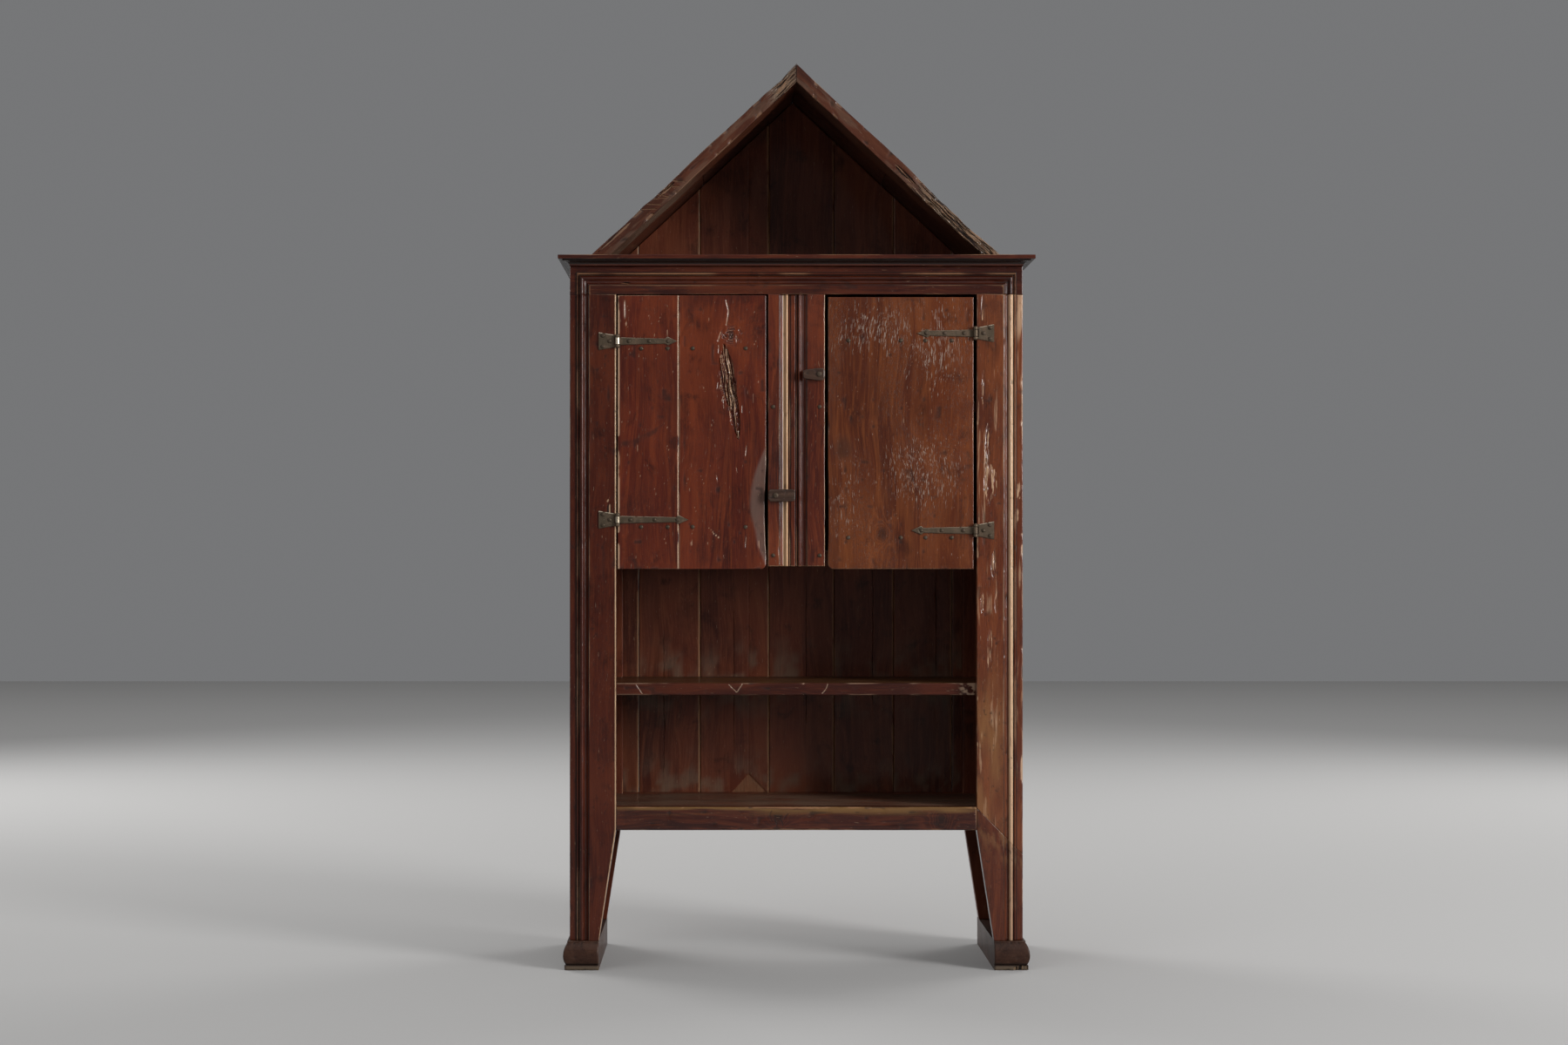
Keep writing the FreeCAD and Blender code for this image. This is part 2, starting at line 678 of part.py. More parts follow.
def doors_and_buttons(parts):
    """Hang the doors, fit the turn-buttons and pierce the frame where their iron goes in."""
    left_top_z = opening_top_z - left_door_top_gap
    right_top_z = opening_top_z - right_door_top_gap
    left_hinges = [left_top_z - left_upper_hinge_drop, door_low_z + left_lower_hinge_rise]
    right_hinges = [right_top_z - right_upper_hinge_drop, door_low_z + right_lower_hinge_rise]

    left_planks, left_battens, left_straps, left_nails = hung_door(
        door_low_z, left_top_z, -muntin_half - left_meeting_gap, left_door_seam_share,
        left_top_z - left_upper_batten_drop - batten_height,
        list(zip(left_hinges, (left_upper_strap_length, left_lower_strap_length))))
    right_planks, right_battens, right_straps, right_nails = hung_door(
        door_low_z, right_top_z, -muntin_half - right_meeting_gap, None,
        right_top_z - right_upper_batten_drop - batten_height,
        list(zip(right_hinges, (right_upper_strap_length, right_lower_strap_length))))
    parts["left_door_hinge_plank"], parts["left_door_lock_plank"] = left_planks
    parts["right_door_plank"] = mirrored(right_planks[0])
    for level, number in (("upper", 0), ("lower", 1)):
        parts["left_door_%s_batten" % level] = left_battens[number]
        parts["left_%s_strap" % level] = left_straps[number]
        parts["right_door_%s_batten" % level] = mirrored(right_battens[number])
        parts["right_%s_strap" % level] = mirrored(right_straps[number])
    parts["left_door_nails"] = left_nails
    parts["right_door_nails"] = mirrored(right_nails)

    plate_nails = {"left": [], "right": []}
    for side, hinges in (("left", left_hinges), ("right", right_hinges)):
        for z in hinges:
            for along, across in plate_nail_shares:
                x = -hinge_x - leaf_start - plate_length * along
                plate_nails[side].append((x, z + plate_flare_width * across, front_y - leaf_thickness,
                                          plate_nail_length))
    left_plates = Part.makeCompound([hinge_plate(z) for z in left_hinges])
    right_plates = Part.makeCompound([hinge_plate(z) for z in right_hinges])
    left_holes = Part.makeCompound([nail_hole(*place) for place in plate_nails["left"]])
    right_holes = Part.makeCompound([nail_hole(*place) for place in plate_nails["right"]])
    parts["left_hinge_plates"] = left_plates.cut(left_holes)
    parts["right_hinge_plates"] = mirrored(right_plates.cut(right_holes))
    parts["left_front_stile"] = parts["left_front_stile"].cut(left_holes)
    parts["right_front_stile"] = parts["right_front_stile"].cut(mirrored(right_holes))
    left_pins = [hinge_pin(z) for z in left_hinges]
    right_pins = [mirrored(hinge_pin(z)) for z in right_hinges]
    parts["hinge_pins"] = Part.makeCompound(left_pins + right_pins)

    post_nails = []
    for z in (cupboard_floor_z + cupboard_floor_thickness / 2, inner_shelf_z + inner_shelf_thickness / 2):
        for x in (muntin_nail_inset - muntin_half, muntin_half - muntin_nail_inset):
            post_nails.append((x, z, front_y, muntin_nail_length))
    frame_nails = [nail(*place) for place in plate_nails["left"] + post_nails]
    frame_nails += [mirrored(nail(*place)) for place in plate_nails["right"]]
    parts["frame_nails"] = Part.makeCompound(frame_nails)

    left_pivot = (left_pivot_inset - muntin_half, door_low_z + left_button_rise)
    right_pivot = (right_pivot_inset - muntin_half, door_low_z + right_button_rise)
    parts["left_turn_button"] = turn_button(*left_pivot, left_pivot_inset, left_button_reach)
    parts["right_turn_button"] = mirrored(turn_button(*right_pivot, right_pivot_inset, right_button_reach))
    parts["turn_button_pivots"] = Part.makeCompound([pivot(*left_pivot), mirrored(pivot(*right_pivot))])
    post_holes = [nail_hole(*place) for place in post_nails]
    post_holes += [pivot_hole(*left_pivot), mirrored(pivot_hole(*right_pivot))]
    for name in ("muntin", "cupboard_floor", "inner_shelf"):
        parts[name] = parts[name].cut(Part.makeCompound(post_holes))


parts = {}
parts.update(front_frame())
parts["left_foot"] = foot()
parts["right_foot"] = mirrored(parts["left_foot"])
parts.update(cornice())
parts.update(carcass_boards())
parts.update(shelves())
parts.update(gable())
parts.update(back_planks())
doors_and_buttons(parts)

os.makedirs("parts", exist_ok=True)
for name, shape in parts.items():
    shape.exportStep("parts/%s.step" % name)
    print(name, round(shape.Volume), shape.isValid())
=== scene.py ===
# %% [markdown]
# # A gabled cupboard in old waxed wood
# The cupboard is a frame of moulded stiles on sled feet, with plank doors on iron straps, open
# shelves and a steep gable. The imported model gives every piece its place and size. This lesson
# gives each piece the surface of the real one: hand-planed faces, rubbed edges, gouges and wax.

# %% Load the frame
import json
import math
import bpy
import numpy as np
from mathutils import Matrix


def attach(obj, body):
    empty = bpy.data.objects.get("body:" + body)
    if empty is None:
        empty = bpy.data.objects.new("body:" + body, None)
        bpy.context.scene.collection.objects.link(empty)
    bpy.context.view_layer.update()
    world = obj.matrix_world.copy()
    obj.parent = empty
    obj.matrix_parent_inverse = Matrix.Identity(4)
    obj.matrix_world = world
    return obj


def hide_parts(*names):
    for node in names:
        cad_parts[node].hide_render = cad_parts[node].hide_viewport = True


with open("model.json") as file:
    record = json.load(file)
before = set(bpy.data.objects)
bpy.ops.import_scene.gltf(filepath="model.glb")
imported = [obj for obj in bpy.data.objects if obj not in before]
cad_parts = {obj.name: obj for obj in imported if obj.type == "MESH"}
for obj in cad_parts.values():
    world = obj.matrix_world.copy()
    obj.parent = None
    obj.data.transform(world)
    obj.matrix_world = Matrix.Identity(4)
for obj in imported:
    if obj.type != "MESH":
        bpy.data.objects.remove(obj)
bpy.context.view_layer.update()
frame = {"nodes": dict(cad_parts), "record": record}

nodes = frame["nodes"]
body_of_node = {node: body for body, members in frame["record"]["behaviour"]["bodies"].items()
                for node in members}

# Places that several pieces share, in metres.
FRONT_Y, BACK_Y, DEPTH, HALF_WIDTH = -0.188, 0.212, 0.400, 0.488
FOOT_TOP, LEG_TOP, LEG_DRAW = 0.062, 0.300, 0.037
STILE_WIDTH, MOULDING_WIDTH, BEAD, SCARF_SLOPE = 0.100, 0.042, 0.0265, 1.02
SHELF_HALF, SHELF_DEPTH, OPENING_HALF = 0.464, 0.347, 0.388
NOTCH_LENGTH, NOTCH_DEPTH, NOTCH_FRONT = 0.076, 0.030, 0.317
GABLE_HALF, GABLE_RISE = 0.445, 0.414
SLOPE = math.atan2(GABLE_RISE, GABLE_HALF)
HINGE_X, HINGE_Y = 0.3845, -0.1935
IRON_Y = -0.1906
DOOR_EDGE, DOOR_FOOT = 0.381, 0.862

# %% [markdown]
# ## Noise
# Old wood is never regular, so widths, depths and stains all wander. Blender's texture nodes can
# do that in a shader, but a shape needs the numbers in Python. Value noise on whole arrays is
# enough, and it gives the same cupboard on every run.

# %% Noise on arrays
def hashed(i, j, seed):
    """A fixed random value for each whole-number cell: the fraction of a large sine."""
    return np.modf(np.abs(np.sin(i * 127.1 + j * 311.7 + seed * 74.7) * 43758.5453))[0]


def smooth(low, high, value):
    """Soft step from 0 at low to 1 at high: three squares less two cubes."""
    t = np.clip((value - low) / (high - low), 0, 1)
    return t * t * (3 - 2 * t)


def over(value, limit=0.0):
    """How far a value lies beyond a limit, and 0 where it falls short."""
    return np.clip(value - limit, 0, None)


def quarter_round(radius, distance):
    """Drop of a quarter round at a distance from its edge: radius less the circle's height."""
    return radius - np.sqrt(over(radius**2, over(radius, distance)**2))


def noise(x, y, seed=0):
    """Value noise from 0 to 1: the four corners of a unit cell, blended by soft steps."""
    i, j = np.floor(x), np.floor(y)
    u, v = smooth(0, 1, x - i), smooth(0, 1, y - j)
    low = hashed(i, j, seed) * (1 - u) + hashed(i + 1, j, seed) * u
    high = hashed(i, j + 1, seed) * (1 - u) + hashed(i + 1, j + 1, seed) * u
    return low * (1 - v) + high * v


def layered(x, y, seed=0, layers=3):
    """Noise at doubling scales and halving strengths, still from 0 to 1."""
    total = sum(noise(x * 2**k, y * 2**k, seed + 17 * k) / 2**k for k in range(layers))
    return total / (2 - 2 / 2**layers)


print("noise of one cell:", round(float(noise(np.array(0.5), np.array(0.5))), 3))

# %% [markdown]
# ## A board with a worked face
# Nearly every piece here is a board: a show face that someone planed, moulded or wore down, four
# edges and a back. A cube with modifiers would show none of that. Instead the face is a height
# over a grid of (across, along), and each row of the grid runs on round the sides and the back,
# so that the board is one closed skin. Four masks ride along with the height: where the wood is
# rubbed pale and where highlights are painted, where dirt lies and where shade is painted, where
# dust or bleaching films it over and, on one rafter, painted light, and where glints in its pores
# are painted.

# %% The carving on a face
class Carving:
    """Height n of a show face over its plane, at a across and l along it, with its four masks.

    Lengths are metres. Masks start at 0 and are wanted up to about 1.
    """

    def __init__(self, across, along, seed):
        self.a, self.l = np.meshgrid(across, along)
        self.width, self.length, self.seed = across[-1], along[-1], seed
        self.edge_a = np.minimum(self.a, self.width - self.a)
        self.edge_l = np.minimum(self.l, self.length - self.l)
        flat = np.zeros_like(self.a)
        self.n, self.roll = flat.copy(), flat
        self.pale = self.grime = self.film = self.fleck = flat

    def mark(self, label, amount):
        """Raises a mask to an amount wherever it is lower."""
        setattr(self, label, np.maximum(getattr(self, label), amount))

    def patches(self, low, high, across, along, seed, layers=3):
        """Soft-edged patches of layered noise, of a given size across and along the grain."""
        return smooth(low, high, layered(self.a / across, self.l / along, seed, layers))

    def planed(self, depth):
        """Shallow hollows left by the plane: layered noise, nine times as long with the grain."""
        breadth = 0.035
        wave = layered(self.a / breadth, self.l / (breadth * 9), self.seed)
        self.n += depth * (wave - 1)
        return self

    def rounded(self, radius, rub):
        """Edges as quarter rounds whose radius wanders along the edge, rubbed pale in stretches."""
        wander = layered(self.l / 0.06, self.a / 0.2, self.seed + 3)
        r = radius * (0.45 + 1.1 * wander)
        inside = over(r, self.edge_a)**2 + over(r, self.edge_l)**2
        self.roll = r - np.sqrt(over(r * r, inside))
        self.n -= self.roll
        near = np.exp(-np.minimum(self.edge_a, self.edge_l) / (1.3 * radius))
        self.mark("pale", rub * near * smooth(0.25, 0.75, wander))
        return self

    def chipped(self, depth, reach, amount, size=0.03):
        """Splinters gone from the long edges where noise along the edge is high."""
        where = smooth(1 - amount, 1.15 - amount, layered(self.l / size, self.a / 0.3, self.seed + 7))
        bite = where * np.clip(1 - self.edge_a / reach, 0, 1)
        self.n -= depth * bite
        self.mark("pale", 0.62 * smooth(0.1, 0.5, bite))
        return self

    def dented(self, depth, amount, size=0.012):
        """Knocks: round hollows where a cell noise is high."""
        knock = smooth(1 - amount, 1, noise(self.a / size, self.l / (1.6 * size), self.seed + 11))
        self.n -= depth * knock
        self.mark("grime", 0.6 * knock)
        return self

    def gouged(self, a, l, width, length, depth, lean=0.0, fibre=0.0016, darkening=1.0, bare=1.0):
        """A torn hollow about (a, l): a ragged pointed oval with ridges of fibre standing along it."""
        u = (self.a - a - lean * (self.l - l)) / (width / 2)
        v = (self.l - l) / (length / 2)
        ragged = 0.9 * (layered(self.a / 0.005, self.l / 0.03, self.seed + 23) - 0.5)
        inside = smooth(0, 0.3, 1 - u * u / np.clip(1 - v * v, 1e-3, None) - np.abs(v)**3 + ragged)
        inside = inside * (np.abs(v) < 1)
        drift = self.a - lean * self.l + 0.004 * noise(self.l / 0.03, self.a / 0.02, self.seed + 27)
        ridge = layered(drift / fibre, self.l / (fibre * 30), self.seed + 29, 2)
        self.n -= depth * inside * (0.3 + 0.7 * smooth(0.75, 0.3, ridge))
        self.mark("pale", bare * inside * smooth(0.46, 0.64, ridge))
        self.mark("grime", darkening * inside * smooth(0.55, 0.4, ridge))
        return self

    def scored(self, marks, width=0.0012, depth=0.0008, pale=0.9, darkening=0.0):
        """Scratches: distance from straight lines between pairs of points (a, l), cut as fine vees."""
        for (a0, l0), (a1, l1) in marks:
            run_a, run_l = a1 - a0, l1 - l0
            t = ((self.a - a0) * run_a + (self.l - l0) * run_l) / (run_a**2 + run_l**2)
            t = np.clip(t, 0, 1)
            far = np.hypot(self.a - a0 - t * run_a, self.l - l0 - t * run_l)
            cut = smooth(width, 0.25 * width, far)
            self.n -= depth * cut
            self.mark("pale", pale * cut)
            self.mark("grime", darkening * cut)
        return self

    def cracked(self, a, l, length, width, depth):
        """A drying crack: a thin wedge along the grain that wanders and closes at both ends."""
        v = (self.l - l) / length
        along = (v > 0) & (v < 1)
        line = a + 0.0025 * (noise(self.l / 0.018, 0 * self.l, self.seed + 31) - 0.5)
        half = width / 2 * np.sqrt(np.clip(4 * v * (1 - v), 0, 1)) + 1e-6
        cut = along * np.clip(1 - np.abs(self.a - line) / half, 0, 1)
        self.n -= depth * cut
        self.mark("grime", smooth(0.1, 0.6, cut))
        return self


def grid_lines(length, step, radius, *extra):
    """Places of the grid lines: even steps, closer lines on the rounded ends, and any extra ones."""
    even = np.linspace(0, length, max(2, round(length / step)) + 1)
    ends = radius * np.array([0.06, 0.25, 0.55, 1.0, 1.5])
    lines = np.concatenate([even, ends, length - ends, *[np.ravel(e) for e in extra]])
    lines = np.unique(np.round(lines[(lines >= 0) & (lines <= length)], 5))
    keep = np.concatenate([[True], np.diff(lines) > 5e-5])
    return lines[keep]


print("carvings: planed, rounded, chipped, dented, gouged, scored, cracked")

# %% From a carving to a closed board
MASKS = ("pale", "grime", "film", "fleck")
FILM = 3 + MASKS.index("film")
SHARP_EDGE = math.radians(35)


class Board:
    """Where a node lies, measured across, along and out of its show face."""

    def __init__(self, node, across, along, out):
        self.node = node
        self.axes = np.array([across, along, out], float)
        mesh = nodes[node].data
        points = np.empty(len(mesh.vertices) * 3)
        mesh.vertices.foreach_get("co", points)
        reach = points.reshape(-1, 3) @ self.axes.T
        low, high = reach.min(0), reach.max(0)
        self.width, self.length, self.thickness = high - low
        self.origin = np.array([low[0], low[1], high[2]]) @ self.axes

    def at(self, a, l, n):
        """Place in the room of a point on the board."""
        return self.origin + np.stack([a, l, n], -1) @ self.axes


def skin(face, back_depth, shares):
    """Rows of the board's skin: face, one side, back and other side, as a, l, n and four masks.

    The back repeats the face's rounding at its edges, under plane marks of its own; the sides are
    straight runs between them, cut at the given shares of the thickness, with a little dirt.
    """
    marks = 0.0012 * layered(face.a / 0.045, face.l / 0.3, face.seed + 41)
    front = np.stack([face.a, face.l, face.n, *(getattr(face, label) for label in MASKS)], -1)
    seam = 0.15 + 0.5 * np.exp(-face.edge_a / 0.004)
    rubbed = 0.5 * face.pale * (face.edge_a > 0.006)
    none = 0 * face.a
    rear = np.stack([face.a, face.l, marks + face.roll - back_depth, rubbed, seam, none, none], -1)
    quiet, plain = np.array([1, 1, 1, 0, 0, 0, 0]), np.array([0, 0, 0, 0, 0.1, 0, 0])

    def side(start, end, share):
        share = share[:, None]
        return (start[:, None] * (1 - share) + end[:, None] * share) * quiet + plain

    return np.concatenate([front, side(front[:, -1], rear[:, -1], shares), rear[:, ::-1],
                           side(front[:, 0], rear[:, 0], shares[::-1])], 1)


def ring_quads(rows, columns):
    """Quads of a grid of points whose last column joins the first."""
    i, j = np.meshgrid(np.arange(rows - 1), np.arange(columns), indexing="ij")
    k = (j + 1) % columns
    return np.stack([i * columns + j, i * columns + k, (i + 1) * columns + k, (i + 1) * columns + j],
                    -1).reshape(-1, 4)


def skin_faces(rows, columns, face_columns, side_points, notched):
    """Quads round the skin, and polygons that close its ends: face to back, or side to side if notched."""
    far = face_columns - 1
    back = far + side_points
    if notched:
        near_side = far + 1 + np.arange(side_points - 1)
        far_side = columns - 1 - np.arange(side_points - 1)
        ends = np.stack([near_side, near_side + 1, far_side - 1, far_side], -1).tolist()
        ends += [[columns - 1] + list(range(far + 2)), list(range(back, back + face_columns + 2))]
    else:
        strip = np.arange(1, far - 1)
        opposite = 2 * face_columns + side_points - 1
        ends = np.stack([strip + 1, opposite - strip - 1, opposite - strip, strip], -1).tolist()
        ends += [list(range(far - 1, back + 3)), list(range(opposite - 1, columns)) + [0, 1]]
    top = (rows - 1) * columns
    quads = ring_quads(rows, columns).tolist()
    return quads + [end[::-1] for end in ends] + [[top + v for v in end] for end in ends]


def mesh_piece(node, points, faces, masks, material):
    """A mesh object at the origin that stands for a CAD node and rides on its body."""
    name = "worn_" + node
    mesh = bpy.data.meshes.new(name)
    mesh.from_pydata(points.tolist(), [], faces)
    masks["shift"] = np.full(len(points), hashed(len(name), sum(map(ord, name)), 5))
    for label, values in masks.items():
        mesh.attributes.new(label, "FLOAT", "POINT").data.foreach_set("value", np.ravel(values))
    mesh.polygons.foreach_set("use_smooth", np.ones(len(mesh.polygons), bool))
    mesh.set_sharp_from_angle(angle=SHARP_EDGE)
    mesh.materials.append(material)
    piece = bpy.data.objects.new(name, mesh)
    bpy.context.scene.collection.objects.link(piece)
    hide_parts(node)
    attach(piece, body_of_node[node])


def make_board(board, face, material, warp=None, side_points=4, side_dust=0.0, inner_dust_and_light=0.0, cuts=()):
    """The closed board: its skin, bent by warp where the outline isn't a rectangle.

    Each side has side_points down it. Dust lies on the side where a is 0, and on the inner one opposite
    a film of dust that on the left rafter is also painted light.
    Cuts are shares of the thickness that get points of their own, because a notch begins there.
    """
    near = min(0.2, 0.002 / board.thickness)
    shares = np.union1d(np.linspace(near, 1 - near, side_points), cuts)
    side_points = len(shares)
    rows = skin(face, board.thickness, shares)
    columns = face.a.shape[1]
    outer, inner = rows[:, -side_points:], rows[:, columns:columns + side_points]
    for side, dust in ((outer, side_dust), (inner, inner_dust_and_light)):
        side[..., FILM] = dust * layered(side[..., 1] / 0.05, side[..., 2] / 0.03, face.seed + 5)
    a, l, n = rows[..., 0], rows[..., 1], rows[..., 2]
    if warp is not None:
        a, l, n = warp(a, l, n)
    points = board.at(a, l, n).reshape(-1, 3)
    faces = skin_faces(rows.shape[0], rows.shape[1], columns, side_points, len(cuts) > 0)
    if np.linalg.det(board.axes) < 0:
        faces = [f[::-1] for f in faces]
    masks = {label: rows[..., 3 + k] for k, label in enumerate(MASKS)}
    mesh_piece(board.node, points, faces, masks, material)


print("a board's skin: face, side, back, side, closed at both ends")

# %% [markdown]
# ## Shader sums as Python
# A wood finish is a sum of grain, pores, stain, wear and dirt. Wiring dozens of Math nodes by hand
# hides that sum, so a small class wraps a socket and lets ordinary operators add the nodes.

# %% Sockets that do arithmetic
class Value:
    """One output socket of a shader node; operators on it add Math nodes."""

    def __init__(self, finish, socket):
        self.finish, self.socket = finish, socket

    def math(self, operation, *values, clamp=False):
        return self.finish.node("ShaderNodeMath", {"operation": operation, "use_clamp": clamp},
                                dict(enumerate(values)))

    def __add__(self, other): return self.math("ADD", self, other)
    def __radd__(self, other): return self.math("ADD", other, self)
    def __sub__(self, other): return self.math("SUBTRACT", self, other)
    def __rsub__(self, other): return self.math("SUBTRACT", other, self)
    def __mul__(self, other): return self.math("MULTIPLY", self, other)
    def __truediv__(self, other): return self.math("DIVIDE", self, other)
    def __rtruediv__(self, other): return self.math("DIVIDE", other, self)

    def sine(self):
        return self.math("SINE", self)

    def held(self):
        """The value kept between 0 and 1."""
        return self.math("ADD", self, 0.0, clamp=True)

    def step(self, low, high):
        """Soft step from 0 at low to 1 at high."""
        return self.finish.node("ShaderNodeMapRange", {"interpolation_type": "SMOOTHSTEP"},
                                {"Value": self, "From Min": low, "From Max": high})


class Finish:
    """A material in the making: one method adds any node, others the few mixes that finishes use."""

    def __init__(self, name):
        self.material = bpy.data.materials.new(name)
        self.material.use_nodes = True
        self.tree = self.material.node_tree
        self.shader = self.tree.nodes["Principled BSDF"]

    def node(self, kind, settings=None, sockets=None, output=0):
        """Adds a node: its settings first, then the values or links of its sockets."""
        made = self.tree.nodes.new(kind)
        for key, value in (settings or {}).items():
            setattr(made, key, value)
        for key, value in (sockets or {}).items():
            self.feed(made.inputs[key], value)
        return Value(self, made.outputs[output])

    def feed(self, socket, value):
        """Links a Value to a socket, or sets the socket's own number or colour."""
        if isinstance(value, Value):
            self.tree.links.new(value.socket, socket)
        else:
            socket.default_value = value

    def place(self):
        """Where a point lies on the object, in metres."""
        return self.node("ShaderNodeTexCoord", output="Object")

    def mask(self, label):
        """A mask that the mesh carries on its points."""
        return self.node("ShaderNodeAttribute", {"attribute_name": label}, output="Fac")

    def stretched(self, vector, scale):
        """A vector with each direction scaled by its own number."""
        return self.vector("MULTIPLY", vector, scale)

    def vector(self, operation, first, second, socket=1):
        """A sum of vectors; socket is where the second value goes."""
        return self.node("ShaderNodeVectorMath", {"operation": operation}, {0: first, socket: second})

    def cloud(self, vector, scale, detail=3.0, roughness=0.55, distortion=0.0):
        """Soft noise about 0.5; scale is its cells to a metre."""
        return self.node("ShaderNodeTexNoise", {}, {"Vector": vector, "Scale": scale, "Detail": detail,
                                                    "Roughness": roughness, "Distortion": distortion})

    def cells(self, vector, scale):
        """Distance from the nearest of scattered points; scale is their number to a metre."""
        return self.node("ShaderNodeTexVoronoi", {}, {"Vector": vector, "Scale": scale}, "Distance")

    def mix(self, factor, first, second):
        """Colour mix; in the node, inputs 6 and 7 are its two colours and output 2 the result."""
        return self.node("ShaderNodeMix", {"data_type": "RGBA"}, {0: factor, 6: first, 7: second}, 2)

    def finish(self, color, roughness, height, distance, strength, **constants):
        """Wires colour, roughness and bump; constants go straight on the shader's sockets."""
        bump = self.node("ShaderNodeBump", {}, {"Strength": strength, "Distance": distance,
                                                "Height": height})
        self.feed(self.shader.inputs["Base Color"], color)
        self.feed(self.shader.inputs["Roughness"], roughness)
        self.feed(self.shader.inputs["Normal"], bump)
        for key, value in constants.items():
            self.feed(self.shader.inputs[key.replace("_", " ")], value)
        return self.material


print("shader sums ready")

# %% [markdown]
# ## The wood
# The wood is a close red-brown one under many coats of wax, darker where hands never reached. Four
# things make it read as wood: broad streaks, growth lines that bend round knots, fine fibres and
# open pores. On top lie the rubbed edges and the dirt that the boards carry as masks, and with them
# painted highlights, painted glints in the pores, painted shade and a little painted light. All of it
# follows the grain, so each finish turns the pattern to lie along its boards.

# %% A finish for old waxed wood
def tone(red, green, blue):
    """An opaque colour."""
    return (red, green, blue, 1.0)


DEEP_STAIN = tone(0.004, 0.001, 0.0006)
PORE_SHADE = tone(0.005, 0.002, 0.0015)
KNOT_SHADE = tone(0.008, 0.003, 0.002)
# Colour of dirt, and of the painted shade in the cornice's cove.
DIRT_AND_SHADE_TONE = tone(0.006, 0.003, 0.002)


def old_wood(name, dark, middle, light, bare, turn=(0.0, 0.0, 0.0), knots=(), open_grain=0.3,
             gloss=0.36, film=(0.085, 0.066, 0.05), streak=9.0, wax=0.5,
             glint=(0.24, 0.15, 0.09)):
    """Wax-finished wood, its grain along Z after the pattern is turned.

    Streaks are stretched noise; growth lines are a sine of the streaks, so that they close in rings
    round each knot, where a bell curve is added; pores are stretched cells, and painted glints are
    short bright ticks of stretched noise. The masks then bring in bare wood and painted highlights,
    soiling and painted shade, and a film of dust that is painted light in one place.
    """
    f = Finish(name)
    dark, middle, light, bare, film, glint = (
        tone(*color) for color in (dark, middle, light, bare, film, glint))
    place = f.place()
    own = f.mask("shift")
    apart = f.vector("SCALE", (7.3, 3.1, 11.7), own, "Scale")
    grain = f.node("ShaderNodeMapping", {}, {"Vector": place, "Rotation": turn, "Location": apart})
    swirl = f.node("ShaderNodeTexNoise", {}, {"Vector": grain, "Scale": 3.2, "Detail": 2.0}, "Color")
    swirl = f.vector("SCALE", swirl, 0.05, "Scale")
    grain = f.vector("ADD", grain, swirl)
    streaks = f.cloud(f.stretched(grain, (1.0, 1.0, 0.075)), streak, 4.0, 0.55, 0.4)
    heart = 0.0
    for x, z, radius in knots:
        offset = f.vector("SUBTRACT", place, (x, 0.0, z))
        flat = f.stretched(offset, (1.0, 0.0, 0.75))
        away = f.node("ShaderNodeVectorMath", {"operation": "LENGTH"}, {0: flat}, "Value") / radius
        heart = heart + 1.0 / (1.0 + away * away * away)
    fibre = f.cloud(f.stretched(grain, (1.0, 1.0, 0.03)), 330.0, 5.0, 0.7)
    blotch = f.cloud(grain, 6.5, 5.0, 0.62)
    hue = f.cloud(f.stretched(grain, (1.0, 1.0, 0.3)), 13.0, 3.0, 0.5)
    broad = f.cloud(grain, 3.1, 2.0, 0.5)
    stain = f.cloud(f.stretched(grain, (1.0, 1.0, 0.7)), 19.0, 6.0, 0.68, 0.5)
    rings = ((streaks + heart * 0.5 + fibre * 0.01) * 60.0).sine() * 0.5 + 0.5
    pores = 1.0 - f.cells(f.stretched(grain, (1.0, 1.0, 0.085)), 900.0).step(0.1, 0.42)
    pores = pores * (hue + 0.2).step(0.55, 0.85)
    ticks = f.cloud(f.stretched(grain, (1.0, 1.0, 0.085)), 620.0, 2.0, 0.55)
    ticks = (ticks + f.mask("fleck") * 0.155).step(0.70, 0.76)
    pale, darkening = f.mask("pale"), f.mask("grime")
    rubbed = (pale + (fibre - 0.5) * 0.85 + (blotch - 0.5) * 0.35).step(0.30, 0.85)

    color = f.mix((streaks + own * 0.14).step(0.34, 0.80), dark, middle)
    color = f.mix(hue.step(0.45, 0.75) * 0.55, color, f.mix(0.5, middle, light))
    color = f.mix(rings.step(0.45, 1.0) * 0.30, color, light)
    color = f.mix(broad.step(0.50, 0.30) * 0.40, color, light)
    color = f.mix(broad.step(0.50, 0.72) * 0.55, color, dark)
    color = f.mix(blotch.step(0.50, 0.74) * 0.6, color, dark)
    color = f.mix(stain.step(0.53, 0.70) * 0.65, color, f.mix(0.5, dark, DEEP_STAIN))
    color = f.mix(fibre.step(0.45, 0.75) * 0.55, color, light)
    color = f.mix((pores * open_grain).held(), color, f.mix(0.8, color, PORE_SHADE))
    if knots:
        color = f.mix((heart - 0.5).held() * 1.4, color, f.mix(0.85, color, KNOT_SHADE))
    color = f.mix((f.mask("film") * (0.45 + fibre * 0.5 + blotch * 0.6)).held(), color, film)
    # Painted highlight: short ticks in the glint colour stand for light glinting in open pores, most where
    # the mask of painted glints is high.
    color = f.mix(ticks * 0.7, color, glint)
    # Bare tone where the pale mask is high: wear, and painted highlights on edges and beads.
    color = f.mix(rubbed * 0.9, color, f.mix(fibre, bare, light))
    # Darkening by dirt, and by painted shade in the cornice's cove.
    color = f.mix((darkening * 1.1 + (fibre - 0.5) * 0.3).step(0.15, 0.95) * 0.9, color, DIRT_AND_SHADE_TONE)

    roughness = (gloss - 0.14 + blotch * 0.28 + rubbed * 0.16 + darkening * 0.3 + pores * 0.4 - ticks * 0.12
                 + f.mask("film") * 0.25).held()
    height = fibre * 0.2 + rings * 0.06 - pores * open_grain * 0.6 + blotch * 0.4 - ticks * 0.5
    return f.finish(color, roughness, height, 0.0010, 0.5, Coat_Weight=wax, Coat_Roughness=0.17,
                    Specular_IOR_Level=0.12)


